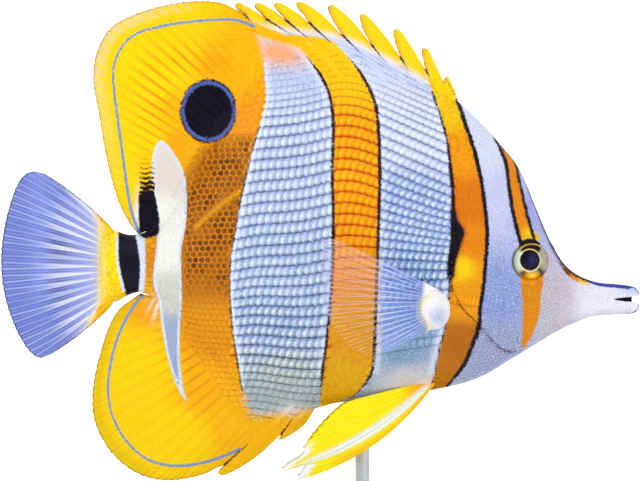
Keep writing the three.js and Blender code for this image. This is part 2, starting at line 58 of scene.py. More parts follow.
# The mouth's opening: x, and how far it reaches below and above its level
GAPE = [(83.8, 0.3), (86.2, 0.6), (88.6, 0.75), (89.7, 1.0), (92, 2.0)]
PECTORAL_BASE = {"x": 31.7, "z": 80.4, "half_x": 4.9, "half_z": 5.7}
SPOT = {"x": -31.6, "z": 136.4, "half_x": 7.7, "half_z": 8.6, "ring": 1.0}
BASE = {"length": 112, "width": 66, "height": 10, "corner": 12, "x": 2}
ROD = {"x": 12, "radius": 2, "cup_start": 51.2, "top": 58.8}

# Camera: the photo's frame, 640 px wide, seen square on from the fish's right side
IMAGE_WIDTH = 640
PIXEL = 0.28302
CAMERA_HEIGHT = 99.8
LENS = 200
SENSOR = 36


# Curves and fields

def smoothstep(low, high, value):
    t = np.clip((value - low) / (high - low), 0, 1)
    return t * t * (3 - 2 * t)


def bump(value, width):
    return np.exp(-((value / width) ** 2))


def through(points):
    """A smooth function through a few (x, value) pairs."""
    xs, values = np.array(points, float).T
    last = len(xs) - 1
    before = np.maximum(np.arange(last + 1) - 1, 0)
    after = np.minimum(np.arange(last + 1) + 1, last)
    slopes = (values[after] - values[before]) / (xs[after] - xs[before])

    def value(x):
        x = np.asarray(x, float)
        i = np.clip(np.searchsorted(xs, x, side="left") - 1, 0, last - 1)
        run = xs[i + 1] - xs[i]
        t = np.clip((x - xs[i]) / run, 0, 1)
        t2, t3 = t * t, t * t * t
        bend = slopes[i] * (t3 - 2 * t2 + t) + slopes[i + 1] * (t3 - t2)
        return values[i] * (2 * t3 - 3 * t2 + 1) + values[i + 1] * (3 * t2 - 2 * t3) + run * bend

    return value


def smooth_curve(points, count, closed=False):
    """Evenly spaced points on a centripetal curve through a few points."""
    p = np.array(points, float)
    if closed:
        p = np.vstack([p[-1:], p, p[:2]])
    else:
        p = np.vstack([2 * p[0] - p[1], p, 2 * p[-1] - p[-2]])
    s = np.linspace(0, 1, 40, endpoint=False)[:, None]
    pieces = []
    for a, b, c, d in zip(p[:-3], p[1:-2], p[2:-1], p[3:]):
        t0, t1, t2 = (max(np.linalg.norm(v), 1e-4) ** 0.5 for v in (b - a, c - b, d - c))
        start = t1 * ((b - a) / t0 - (c - a) / (t0 + t1) + (c - b) / t1)
        end = t1 * ((c - b) / t1 - (d - b) / (t1 + t2) + (d - c) / t2)
        pieces.append(b * (2 * s**3 - 3 * s**2 + 1) + c * (3 * s**2 - 2 * s**3)
                      + start * (s**3 - 2 * s**2 + s) + end * (s**3 - s**2))
    pieces.append(p[-2:-1])
    fine = np.vstack(pieces)
    run = np.concatenate([[0], np.cumsum(np.linalg.norm(np.diff(fine, axis=0), axis=1))])
    wanted = np.linspace(0, run[-1], count)
    return np.column_stack([np.interp(wanted, run, column) for column in fine.T])


GRID = 0.5
grid_x = np.arange(-96, 96.1, GRID)
grid_z = np.arange(24, 174.1, GRID)
map_x, map_z = np.meshgrid(grid_x, grid_z, indexing="ij")


def sampled(values):
    """A function of (x, z) that reads a map of the side view between its points."""
    def at(x, z):
        u = np.clip((x - grid_x[0]) / GRID, 0, len(grid_x) - 1.001)
        w = np.clip((z - grid_z[0]) / GRID, 0, len(grid_z) - 1.001)
        i, j = u.astype(int), w.astype(int)
        u, w = u - i, w - j
        low = values[i, j] * (1 - u) + values[i + 1, j] * u
        high = values[i, j + 1] * (1 - u) + values[i + 1, j + 1] * u
        return low * (1 - w) + high * w

    return at


def to_line(x, z, line):
    """Distance from places of the side view to a line of short segments."""
    best = np.full(np.shape(x), 1e9)
    for (x0, z0), (x1, z1) in zip(line[:-1], line[1:]):
        dx, dz = x1 - x0, z1 - z0
        t = np.clip(((x - x0) * dx + (z - z0) * dz) / (dx * dx + dz * dz + 1e-12), 0, 1)
        best = np.minimum(best, (x - x0 - t * dx) ** 2 + (z - z0 - t * dz) ** 2)
    return np.sqrt(best)


def distance_to(points, count=60):
    return sampled(to_line(map_x, map_z, smooth_curve(points, count)))


def region(points, count=90, smooth=True):
    """Distance inside a closed outline of the side view, below zero outside it."""
    outline = smooth_curve(points, count, closed=True)[:-1] if smooth else np.array(points, float)
    inside = np.zeros(map_x.shape, bool)
    for (x0, z0), (x1, z1) in zip(outline, np.roll(outline, -1, axis=0)):
        crosses = (z0 > map_z) != (z1 > map_z)
        inside ^= crosses & (map_x < (x1 - x0) * (map_z - z0) / (z1 - z0 + 1e-12) + x0)
    away = to_line(map_x, map_z, np.vstack([outline, outline[:1]]))
    return sampled(np.where(inside, away, -away))


def band(left, right, count=60):
    """Distance inside the area between two curves that run the same way."""
    edges = np.vstack([smooth_curve(left, count), smooth_curve(right, count)[::-1]])
    return region(edges, smooth=False)


# Shape of the body

top_line = through([
    (-57.7, 102.5), (-54.6, 101.4), (-51.5, 101.2), (-47.5, 102.2), (-43, 106.2), (-36.8, 115.5),
    (-29.7, 126.8), (-21.2, 136.2), (-11.3, 141.8), (0, 144.6), (11.3, 145.5), (22.6, 144.6),
    (31.1, 142.7), (38, 139.2), (43.4, 135.3), (51.1, 127), (56.7, 119.6), (60.7, 110.1),
    (65.4, 99.2), (70.2, 92.1), (77.1, 88.4), (85.8, 87.3), (89.2, 86.5), (SNOUT_TIP, 85.3),
])
bottom_line = through([
    (-57.7, 82.3), (-54.4, 84.4), (-51.2, 85.5), (-47.5, 85.1), (-42.5, 82.4), (-36.8, 76.7),
    (-30.6, 68.2), (-24.9, 60.3), (-19.8, 55.3), (-13, 53.2), (-0.6, 53.5), (11.3, 54.6),
    (22.6, 55.8), (33.6, 57.7), (41, 59.4), (47.2, 61.9), (52.6, 65.2), (61.1, 70.4),
    (68.4, 74.7), (77.1, 78.2), (85.8, 78.9), (89.2, 79.4), (SNOUT_TIP, 80.7),
])
widest_line = through([
    (-57.7, 93), (-40, 94), (-20, 95.7), (8, 97), (31, 95.7), (45, 93.8), (58, 91.5), (66, 87),
    (74, 84), (SNOUT_TIP, MOUTH_LEVEL),
])
half_width = through([
    (-57.7, 2.6), (-50, 3.3), (-40, 4.8), (-25, 7.3), (-10, 9.3), (5, 10.6), (20, 11.4),
    (32, 11.6), (42, 10.8), (52, 8.9), (60, 6.9), (66, 5.0), (72, 3.7), (80, 3.0), (86, 2.8),
    (89.2, 2.4), (SNOUT_TIP, 1.5),
])
pinch_above = through([
    (-57.7, 0.5), (-46, 0.6), (-35, 0.85), (25, 0.85), (48, 0.58), (60, 0.52), (SNOUT_TIP, 0.5),
])
pinch_below = through([
    (-57.7, 0.5), (-46, 0.6), (-35, 0.85), (-12, 0.85), (12, 0.6), (48, 0.56), (SNOUT_TIP, 0.5),
])
fin_edge = through([
    (-57.7, 0.2), (-46, 1), (-35, FIN_BASE_HALF), (34, FIN_BASE_HALF), (48, 0.4), (SNOUT_TIP, 0.1),
])
# How far the scaly sheath climbs over the bases of the median fins
sheath_above = through([
    (-57.7, 0), (-50, 0.6), (-45, 3), (-35, 7), (-20, 9), (-6, 9), (5, 8.5), (14, 7), (24, 5),
    (32, 2.6), (38, 0.8), (44, 0), (SNOUT_TIP, 0),
])
sheath_below = through([
    (-57.7, 0), (-50, 0.6), (-45, 3), (-35, 7), (-22, 7), (-10, 4), (-2, 1.4), (6, 0), (SNOUT_TIP, 0),
])


def body_half(x, z):
    """Half thickness of the fish at a place of the side view, its scaly sheaths among it."""
    level = widest_line(x)
    above = z > level
    reach = np.where(above, top_line(x) - level, level - bottom_line(x))
    sheath = np.where(above, sheath_above(x), sheath_below(x))
    rise = np.abs(z - level)
    share = np.minimum(1, rise / reach)
    pinch = np.where(above, pinch_above(x), pinch_below(x))
    bulk = half_width(x) * (1 - share**2) ** pinch
    thin = smoothstep(-2, 1, rise - reach) * np.clip(sheath / 4, 0, 1)
    edge = fin_edge(x) * (1 - thin) + SHEATH_HALF * 1.15 * thin
    return np.hypot(bulk, edge * np.sqrt(1 - np.minimum(1, rise / (reach + sheath)) ** 8))


def spot_share(x, z):
    """Distance from the middle of the eye spot, one at its edge."""
    return np.hypot((x - SPOT["x"]) / SPOT["half_x"], (z - SPOT["z"]) / SPOT["half_z"])


def eye_distance(x, z):
    return np.hypot(x - EYE["x"], z - EYE["z"])


GILL_EDGE = [
    (38.5, 97.6), (36.8, 91), (36.7, 88.6), (37.4, 85.2), (39.8, 81), (44.4, 76.4), (48.4, 71.6),
    (52, 68.8), (56.2, 68.2),
]
GILL_COVER = GILL_EDGE + [
    (55.5, 72), (54.5, 80), (53.5, 87), (51, 93.2), (46.5, 97.6), (42.4, 99.2),
]
gill_edge = distance_to(GILL_EDGE)
gill_cover = region(GILL_COVER)
cheek_groove = distance_to([(48.7, 96), (50.9, 88.6), (51.6, 81.5), (50.4, 74.5), (53.5, 71)])
lip_groove = distance_to([(MOUTH_CORNER - 1.2, 84.8), (85.2, 85.6), (87.6, 86.3)])


def relief(x, z):
    """Raised and sunken detail of the head: gill cover, cheek, eye socket, nostrils and lips."""
    edge, cover = gill_edge(x, z), gill_cover(x, z)
    out = 0.75 * bump(edge, 6) * smoothstep(-0.2, 0.35, cover)
    out = out - 0.35 * bump(cover + 0.45, 0.35) * bump(edge, 1.2)
    cheek = cheek_groove(x, z)
    out = out - 0.16 * bump(cheek, 0.5) + 0.1 * bump(cheek - 1.1, 0.7)
    out = out - 3.4 * smoothstep(6.2, 5.4, eye_distance(x, z))
    for nx, nz, radius in NOSTRILS:
        hole = np.hypot(x - nx, z - nz)
        out = out - 0.8 * bump(hole, radius) + 0.14 * bump(hole - 2.1 * radius, 0.6 * radius)
    in_lips = smoothstep(MOUTH_CORNER - 1, MOUTH_CORNER + 1.5, x)
    out = out + 0.34 * in_lips * bump(z - MOUTH_LEVEL, 1.2)
    return out - 0.1 * in_lips * bump(lip_groove(x, z), 0.3)


def surface(x, z):
    """Half thickness where scales lie: the body, or the fins beyond its sheaths."""
    return np.maximum(body_half(x, z) + relief(x, z), 0.46)


# Markings

def srgb(red, green, blue):
    value = np.array([red, green, blue], float) / 255
    return np.where(value <= 0.04045, value / 12.92, ((value + 0.055) / 1.055) ** 2.4)


def mixed(a, b, share):
    return a * (1 - share[..., None]) + b * share[..., None]


def painted(colour, layers):
    """A colour under layers of other tints, each with its share at every place."""
    for tint, share in layers:
        colour = mixed(colour, srgb(*tint), share)
    return colour


def wash(tint, shape):
    """One tint over an array of places."""
    return np.tile(srgb(*tint), shape + (1,))


def blended(tints, x, z):
    """Soft blend of named tints, each (x, z, reach, colour) and strongest round its own place."""
    total = np.zeros((len(x), 3))
    weight = np.full(len(x), 1e-9)
    for tx, tz, reach, colour in tints:
        w = 1 / (0.04 + ((x - tx) ** 2 + (z - tz) ** 2) / reach**2) ** 2
        total += w[:, None] * srgb(*colour)
        weight += w
    return total / weight[:, None]


LEMON = (254, 212, 2)
YELLOW = (252, 204, 6)
GOLD = (250, 184, 6)
ORANGE = (238, 140, 6)
DEEP_ORANGE = (226, 120, 6)
COPPER = (210, 124, 10)
PEARL = (220, 226, 248)
ICE = (188, 204, 238)
STEEL = (160, 184, 226)
SLATE = (134, 164, 208)
OLIVE = (160, 176, 172)
LAVENDER = (204, 206, 244)
CHEEK = (138, 156, 214)
SNOUT_PALE = (230, 226, 240)
PERIWINKLE = (122, 140, 220)
CREAM = (243, 245, 230)

# Silver ground of the flanks, then of the head and the snout
GROUND = [
    (28, 132, 12, PEARL), (-8, 138, 12, ICE), (-12, 118, 12, (176, 192, 230)), (-12, 92, 12, STEEL),
    (-12, 76, 10, SLATE), (-10, 62, 8, OLIVE), (26, 108, 12, (146, 174, 228)),
    (26, 88, 10, (110, 148, 204)), (22, 70, 8, (120, 156, 190)), (24, 60, 6, (204, 200, 196)),
    (30, 58, 3, (232, 218, 180)),
    (46, 126, 8, PEARL), (50, 112, 8, LAVENDER), (51, 84, 7, CHEEK), (50, 70, 6, (150, 158, 196)),
    (59, 108, 5, (168, 172, 236)), (67, 84, 6, (194, 184, 198)), (80, 84, 9, SNOUT_PALE),
    (68, 76, 4, (190, 184, 192)),
]
# Warm colours of the middle bar, the front bar and the eye bar, then of the rear, the fins and the tail
BARS = [
    (10, 150, 8, YELLOW), (10, 122, 10, (246, 164, 6)), (10, 98, 10, (240, 150, 6)),
    (9, 74, 8, (226, 156, 8)), (6, 60, 7, (226, 172, 8)),
    (35, 143, 6, LEMON), (37, 136, 5, YELLOW), (40, 124, 7, (246, 160, 6)), (42, 110, 8, DEEP_ORANGE),
    (42, 100, 6, ORANGE), (39.5, 92.5, 3.5, LEMON), (42, 82, 6, (240, 158, 6)),
    (40.5, 72, 6, (176, 102, 4)), (35, 60, 6, (184, 112, 6)),
    (55, 112, 7, (236, 140, 14)), (59.6, 101, 2, LEMON), (59, 80, 6, (224, 140, 8)),
    (-20, 152, 6, (252, 180, 6)), (-50, 150, 12, (255, 218, 0)), (-40, 154, 5, (254, 212, 0)),
    (-20, 132, 7, (248, 160, 6)), (-29, 149, 5, (252, 170, 4)), (-41, 138, 4, (253, 186, 6)),
    (-39, 127, 4, (252, 168, 6)),
    (69.3, 91.2, 1.6, (132, 58, 10)), (72, 89.2, 1.4, (236, 140, 10)), (74.8, 87.6, 1.8, (255, 206, 20)),
    (-29, 116, 8, COPPER), (-31, 94, 9, COPPER), (-30, 74, 9, (230, 150, 8)), (-32, 58, 8, (250, 176, 8)),
    (-52, 122, 8, (255, 218, 0)), (-50, 62, 9, LEMON), (-40, 44, 9, (255, 216, 0)), (-24, 46, 7, GOLD),
    (-60, 94, 5, (255, 226, 0)), (-48, 94, 3, (222, 140, 12)), (-60.6, 93.5, 2.6, (255, 242, 50)),
    (-50, 80, 3, (242, 160, 6)),
]
WEDGE_TINTS = [
    (-43, 120, 6, (226, 214, 206)), (-43, 100, 8, CREAM), (-42, 84, 6, (206, 208, 190)),
    (-41, 72, 8, (154, 172, 202)), (-40, 60, 7, (146, 166, 204)),
]
TAIL_SLATE = (70, 84, 136)

mid_bar = band(
    [(-13, 161), (-5.7, 154.2), (-1.4, 148.9), (1.7, 143.9), (3.3, 138.4), (3.8, 131.1), (3.5, 118.9),
     (3.8, 106.4), (3.5, 90.9), (2.9, 81.5), (2, 72.3), (0.8, 63.1), (0, 52)],
    [(-1, 161), (4.6, 155.4), (10.2, 148.9), (13.3, 143.9), (15.5, 138.4), (16.4, 131.1), (16.7, 118.9),
     (16.4, 106.4), (15.8, 87.8), (15.5, 78.4), (15.2, 69.4), (14.6, 63.1), (12.7, 59.5), (9.6, 56)],
)
front_bar = band(
    [(28, 151), (31.1, 143.9), (32.7, 139), (34.2, 134.2), (35.8, 127.9), (36.7, 120), (37.3, 112.7),
     (37.3, 106.4), (37.9, 101.6), (36.8, 93.7), (36.1, 84.6), (35.1, 75.3), (33.6, 69.4), (32.4, 63.1),
     (30.6, 54)],
    [(34.5, 147.5), (37.2, 142.5), (38.9, 139), (41, 132.2), (43.4, 124.8), (45.3, 115.8), (46.5, 106.4),
     (46.8, 100.3), (46.5, 96.8), (45.8, 87.8), (44.7, 79.7), (44.4, 75.3), (42.8, 70.5), (40.4, 64.9),
     (37.3, 60.6), (33, 55)],
)
eye_bar_high = band(
    [(46, 134), (47.7, 131.6), (50.2, 127.4), (52.4, 121.8), (53.2, 115.8), (54.2, 108.4), (55.8, 101.6),
     (57, 97)],
    [(48.2, 133.4), (49.5, 129.8), (54.8, 122.4), (56.3, 115.8), (57.9, 108.4), (59.7, 101.6), (61, 97)],
)
eye_bar_low = region([
    (57, 92), (57, 82), (57, 75.3), (57.3, 69.2), (57.9, 69.6), (60, 73.6), (61.6, 78.4), (62.2, 84.6),
    (62.5, 91),
])
REAR_EDGE = [
    (-18.4, 160.2), (-16.2, 152), (-15.6, 144.6), (-15.3, 140.1), (-16.7, 133.3), (-19, 125.1),
    (-21.2, 115.8), (-22.9, 107.3), (-23.8, 101.3), (-24.7, 97.1), (-25.3, 88.3), (-25, 79.8),
    (-24.1, 71.1), (-23, 64.3), (-21.8, 57.2), (-19, 50), (-8, 50.5), (4, 50),
]
REAR_BACK = [
    (4, 30), (-72, 30), (-72, 60), (-63, 72), (-60, 77.5), (-57.5, 82.5), (-57.9, 93.7), (-57.4, 102),
    (-72, 117), (-72, 170), (-24, 170),
]
rear = region(np.vstack([smooth_curve(REAR_EDGE, 60), REAR_BACK]), smooth=False)
wedge = region([
    (-45, 128.2), (-47, 125.1), (-47.5, 118.9), (-47, 112.9), (-45.8, 104.5), (-46.1, 97.1), (-47, 88.3),
    (-45.6, 82.7), (-44.4, 73.9), (-42.7, 65.4), (-40.3, 58.3), (-37.1, 53.2), (-38.6, 57.2),
    (-39.7, 65.4), (-39.7, 75.6), (-39.1, 82.7), (-39.2, 91.4), (-39.2, 97.1), (-37.9, 104.5),
    (-37.7, 112.9), (-38.6, 118.9), (-41.5, 124.5),
])
black_patch = region([
    (-51.1, 124), (-47.8, 122), (-47.3, 114.8), (-46.2, 109.8), (-45.6, 104.5), (-46, 101.5),
    (-49.2, 100.6), (-50.6, 101.2), (-51.1, 105.4), (-51.2, 112), (-51.4, 118),
])
tail_black = band(
    [(-57.4, 105), (-57, 101.1), (-56.8, 94.3), (-54.9, 84.7), (-54, 81)],
    [(-52.8, 105), (-52.1, 101.1), (-50.8, 93.7), (-51.3, 85.2), (-52, 81)],
)
# Front end of the yellow band on the tail, just behind the black one
YELLOW_END = through([(80, -54.6), (84.7, -55.7), (94.3, -57.6), (101.1, -57.8), (105, -58.2)])
# Middle of the front bar and of the eye bar, from low to high
FRONT_BAR_MIDDLE = through([(56, 33), (75, 39), (100, 42), (142, 34)])
EYE_BAR_MIDDLE = through([(97, 59), (101.6, 57.7), (115.8, 54.8), (122.4, 53.6), (132, 48)])
gill_black = region([
    (37.1, 108.5), (37.7, 107), (38.4, 104.4), (40, 102.5), (39.2, 99.6), (38.1, 96.3), (37.2, 93),
    (37, 90.2), (36.4, 89.4), (36.1, 91.6), (36.4, 95), (36.8, 98.5), (37.1, 103),
])
blue_line = distance_to([
    (-50.7, 101.4), (-53, 106.7), (-54.5, 114.1), (-55.9, 124.5), (-57.1, 133.3), (-58.2, 141.8),
    (-58.5, 147.6), (-57.4, 152.3), (-54.8, 156.3), (-51.3, 158.6), (-46.7, 160), (-38.6, 161.5),
    (-30, 162.2), (-24.1, 162.2), (-18.4, 160.3),
])
blue_line_low = distance_to([
    (-50.1, 84.6), (-53.6, 79.8), (-57.1, 72.8), (-59.4, 64.1), (-60, 57.8), (-58.9, 50.8), (-55.9, 44.5),
    (-51.3, 39.4), (-45.6, 36.7), (-38.6, 36.1), (-30, 37.8), (-22.6, 40.8),
])
lateral_streak = distance_to([(-35, 103.6), (-32, 106.4), (-27.2, 110.4), (-22.4, 113.8)])
spine_base = through([
    (-24, 162), (-18.4, 160), (-5.7, 158.2), (-2.5, 158), (5.9, 156.6), (14.6, 152.8), (19.5, 150.3),
    (25, 147.2), (31.1, 143.7), (38, 139.5),
])


def lobe(root, front, tip, rear, notch):
    return {"root": root, "front": front, "tip": tip, "rear": rear, "notch": notch}


DORSAL_LOBES = [
    lobe((38.2, 138.4), (37.6, 143.5), (35.7, 146.4), (35.2, 145.5), (35, 144.7)),
    lobe((35.1, 140.7), (32.5, 150), (29.2, 154.2), (29.1, 151.4), (29.9, 148)),
    lobe((31.1, 142.4), (25.8, 154.8), (21.1, 159.6), (21.3, 155.7), (22.8, 151.7)),
    lobe((26, 143.8), (17.3, 159.1), (11.5, 163.8), (12.5, 158.8), (14.7, 155.1)),
    lobe((20.4, 144.9), (8.8, 162.3), (2.4, 166.3), (3.7, 161.8), (6.5, 157.7)),
    lobe((14.4, 145.2), (0.3, 163.9), (-6.7, 167), (-5.2, 164.3), (-3.2, 161.5)),
    lobe((8.8, 145.2), (-7.4, 164.9), (-13, 166.7), (-11.5, 164.3), (-9.6, 162.1)),
    lobe((3.7, 145.2), (-13.3, 165), (-18.5, 166.5), (-17, 164.6), (-15.3, 162.5)),
    lobe((-1.1, 144.4), (-18.8, 165), (-24, 166.5), (-22.8, 165.2), (-21.4, 163.8)),
]
ANAL_LOBES = [
    lobe((-0.6, 54.6), (-4.5, 47.6), (-11.7, 43.5), (-11.3, 44.2), (-11.1, 44.8)),
    lobe((-4.8, 54.1), (-19.2, 37.7), (-28.8, 33.9), (-27.9, 35.1), (-26.9, 36.4)),
]
# Where the painted shadow line behind each dorsal lobe fades out, from the second lobe on
DORSAL_SHADOW_ENDS = [
    (31.3, 145.8), (24.9, 148.3), (18.4, 150.3), (12.4, 152), (7.2, 152), (-1.5, 155.4), (-7.2, 157.5),
    (-18.2, 160.3),
]
# Painted shadows: a tapering line from each lobe's notch towards its end, on the dorsal and the anal
# spines
SPINE_SHADOW_LINES = [(blade["notch"], end) for blade, end in zip(DORSAL_LOBES[1:], DORSAL_SHADOW_ENDS)]
SPINE_SHADOW_LINES += [((-11.1, 44.8), (-5.1, 53.2)), ((-26.9, 36.4), (-13.6, 48.4))]
# Hind border of the soft fins
SOFT_DORSAL_MARGIN = [
    (-21.2, 163.8), (-24.9, 165.7), (-27.6, 167), (-34.2, 167.6), (-42.5, 166.7), (-52, 164),
    (-59.4, 159.9), (-63.4, 152.5), (-64.2, 145.2), (-62.8, 136.7), (-60.2, 122), (-56.6, 109.8),
    (-53.4, 104), (-51.3, 101.5),
]
SOFT_ANAL_MARGIN = [
    (-26.6, 36.3), (-29.4, 35.4), (-31.6, 34.2), (-36, 32.8), (-45, 32), (-52.9, 34.5), (-59.6, 40.4),
    (-63.6, 48), (-64.5, 55.5), (-62.3, 67.7), (-57.6, 79.4), (-50.9, 84.9),
]
SOFT_MARGINS = (SOFT_DORSAL_MARGIN, SOFT_ANAL_MARGIN)
rear_border = sampled(np.minimum(*(
    to_line(map_x, map_z, smooth_curve(margin, 90)) for margin in SOFT_MARGINS)))

outline_x = np.append(np.arange(-57, 90, 1.5), SNOUT_TIP)
body_outline = region(np.vstack([
    np.column_stack([outline_x, top_line(outline_x)]),
    np.column_stack([outline_x, bottom_line(outline_x)])[::-1],
]), smooth=False)


def inside_taper(x, z, start, end, half):
    """Distance inside a straight mark that narrows from its start to a point at its end."""
    start, way = np.array(start), np.subtract(end, start)
    t = np.clip(((x - start[0]) * way[0] + (z - start[1]) * way[1]) / (way @ way), 0, 1)
    away = np.hypot(x - start[0] - t * way[0], z - start[1] - t * way[1])
    return half * (1 - t) ** 0.6 - away


# Distances inside a mark where there is none: of a layer's start, and of one area among others
NOWHERE = -99.0
OUTSIDE = -9.0


class Layers:
    """The strongest of several marked areas at each place, and the tone of that one."""

    def __init__(self, count):
        self.inside = np.full(count, NOWHERE)
        self.tone = np.zeros(count)

    def add(self, inside, tone, where=True):
        inside = np.where(where, inside, NOWHERE)
        self.tone = np.where(inside > self.inside, tone, self.tone)
        self.inside = np.maximum(self.inside, inside)


def tail_fan(x, z):
    """Height off the tail's middle, whether the fan holds the place, and a step at its corners."""
    rise = np.abs(z - TAIL_LEVEL)
    behind = np.maximum(0, -57.4 - x)
    corner = 3.4 * smoothstep(0.75, 1, rise / (9 + 1.05 * behind))
    return rise, rise < 9.5 + 1.3 * behind, corner


def tail_layers(x, z):
    """Tail and its stalk: blue membrane, a cream and yellow band, and a blue-white crescent."""
    rise, fan, corner = tail_fan(x, z)
    on_tail = smoothstep(-57.2, -57.6, x) * fan
    cream = on_tail * np.exp(-np.clip(-61.2 - corner - x, 0, 99) / 2.6)
    crescent = smoothstep(-57.7, -57.3, x) * smoothstep(-48.4, -49.4, x) * (rise < 11)
    return [
        (PERIWINKLE, on_tail),
        ((104, 120, 200), on_tail * smoothstep(-78, -86, x)),
        ((96, 114, 196), 0.7 * on_tail * smoothstep(88, 76, z) * smoothstep(-64, -72, x)),
        ((246, 236, 200), 0.9 * cream),
        ((250, 226, 120), on_tail * smoothstep(-63.6, -61.6, x + corner)),
        ((214, 228, 250), crescent),
    ]


def honeycomb_at(x, z):
    """How dark the middles of the small scales are, over the rear of the flank."""
    ahead = smoothstep(-15.5, -22, x + 0.13 * (z - 135)) * smoothstep(-39.5, -37.5, x)
    ahead = ahead * (0.84 + 0.16 * np.sin(0.45 * x + 1) * np.sin(0.38 * z))
    on_body = smoothstep(-3.5, 0.5, body_outline(x, z))
    return ahead * smoothstep(133, 125, z) * smoothstep(77, 92, z) * on_body


class Place:
    """Places of the side view, and their distances to the lines that several markings share."""

    def __init__(self, x, z):
        self.x, self.z = x, z
        self.mid, self.front, self.rear = mid_bar(x, z), front_bar(x, z), rear(x, z)
        self.wedge = wedge(x, z)
        self.over = z - spine_base(x)
        self.depth = body_outline(x, z)
        self.blue_line = np.minimum(blue_line(x, z), blue_line_low(x, z))
        self.spot = (1 - spot_share(x, z)) * 8
        self.streak = lateral_streak(x, z)
        self.honeycomb = honeycomb_at(x, z) * (1 - 0.8 * bump(self.streak, 0.8))


def ground_tints(at):
    """Colour between the bars: silver flanks, blue forehead, pale snout, wedge, tail and fin bases."""
    x, z, over = at.x, at.z, at.over
    # Silver is whitest beside the bars, and the forehead bluest at the profile
    beside = np.maximum.reduce([bump(at.mid + 1, 1), bump(at.front + 1, 1), bump(at.rear + 0.9, 0.8)])
    profile = bump(top_line(x) - z - 1.4, 1.3) * smoothstep(54, 57, x) * (x < 68)
    # Painted shade: greyer along the underside of the snout
    underside_shade = smoothstep(2.6, 0, z - bottom_line(x)) * (x > 62) * (x < 88)
    colour = painted(blended(GROUND, x, z), tail_layers(x, z) + [
        ((236, 242, 255), 0.6 * beside * (x < 36) * (z > 62)),
        ((150, 154, 232), 0.6 * profile),
        ((150, 138, 150), 0.4 * underside_shade),
        ((168, 206, 252), 0.8 * bump(np.hypot(x - 87.8, (z - 86.2) * 1.4), 2.2)),
    ])
    colour = mixed(colour, blended(WEDGE_TINTS, x, z), smoothstep(-1.2, 0, at.wedge))

    # Pale streaked zone and peach patch under the spines, their yellow, and amber at the belly's end
    spines = smoothstep(-26, -20, x)
    streaks = 0.5 + 0.5 * np.sin(5.2 * over + 0.35 * x + 1.5 * np.sin(0.4 * x))
    pale = painted(wash((214, 222, 250), x.shape), [((150, 166, 216), 0.7 * streaks)])
    reach = 1.6 + 1.2 * smoothstep(2, 10, x)
    colour = mixed(colour, pale, 0.85 * bump(over + reach - 1.2, reach) * smoothstep(37, 30, x) * spines)
    under = 51.5 - z + 0.12 * (x + 14)
    return painted(colour, [
        ((250, 170, 116), np.minimum(1, 1.1 * bump(x + 12, 8) * bump(over + 6.2, 3.8))),
        ((252, 240, 220), 0.6 * bump(over - 0.6, 0.9) * smoothstep(36, 28, x) * spines),
        (LEMON, smoothstep(-0.2, 2.4, over) * spines),
        ((252, 190, 6), smoothstep(-1, 2.5, under) * smoothstep(4, -2, x)),
        ((226, 216, 222), 0.9 * bump(np.hypot(x + 8.5, z - 51.5), 2.8)),
    ])


def bar_tints(at):
    """Colour inside the bars, over the rear of the body and on the soft fins."""
    x, z = at.x, at.z
    # Streaked fan below the wedge, and a pale glow behind the black patch
    fan = np.sin(26 * np.arctan2(z - 88, x + 44))
    fan = bump(np.hypot(x + 46.4, (z - 81) * 0.6), 2.2) * (0.45 + 0.55 * fan)
    glow = bump(x + 51.9 - 0.04 * (z - 106), 0.9) * bump(z - 106.5, 6)
    # Outside the blue line the dorsal fin is paler and the anal fin greener, with a brown rim
    beyond = rear_border(x, z)
    border = smoothstep(0.4, 2, at.blue_line) * smoothstep(4.6, 1.6, beyond) * smoothstep(-44, -52, x)
    comb = bump(x + 49.6, 1.8) * bump(z - 120, 4.5) * (0.5 + 0.5 * np.cos(4.5 * z))
    return painted(blended(BARS, x, z), [
        ((246, 240, 226), np.clip(fan, 0, 1)),
        ((226, 236, 250), glow),
        (LEMON, smoothstep(-1, 2.5, at.over) * smoothstep(-14, -4, x)),
        ((240, 224, 130), border * 0.45 * smoothstep(110, 135, z)),
        ((218, 192, 2), 0.75 * border * (z < TAIL_LEVEL)),
        ((196, 132, 30), 0.5 * smoothstep(0.7, 0.2, beyond)),
        ((206, 112, 12), 0.6 * comb),
        ((178, 96, 12), 0.5 * at.honeycomb),
        ((255, 204, 30), 0.7 * bump(at.streak, 0.5)),
        ((124, 54, 8), 0.6 * smoothstep(-1.8, 0, gill_black(x, z))),
    ])


def bar_edges(dark, at):
    """Dark edges of the middle, front and rear bars."""
    x, z = at.x, at.z
    edge = 0.46 * smoothstep(152.5, 146, z) * smoothstep(54, 63, z)
    dark.add(edge - np.abs(at.mid + 0.05), 0.45, (z < 152) & (z > 55))
    ahead = x > FRONT_BAR_MIDDLE(z)
    edge = (0.6 - 0.2 * smoothstep(66, 60, z)) * smoothstep(0.8, -0.8, at.over)
    dark.add(edge - np.abs(at.front + 0.1), 0.95, ahead)
    edge = 0.26 + 0.34 * smoothstep(140, 108, z) * smoothstep(84, 100, z)
    dark.add(edge - np.abs(at.front + 0.05), 0.6, ~ahead & (at.over < -1))
    dark.add(0.2 - np.abs(at.rear - 0.1), 0.35, (x > -30) & (z < 132) & (z > 57))


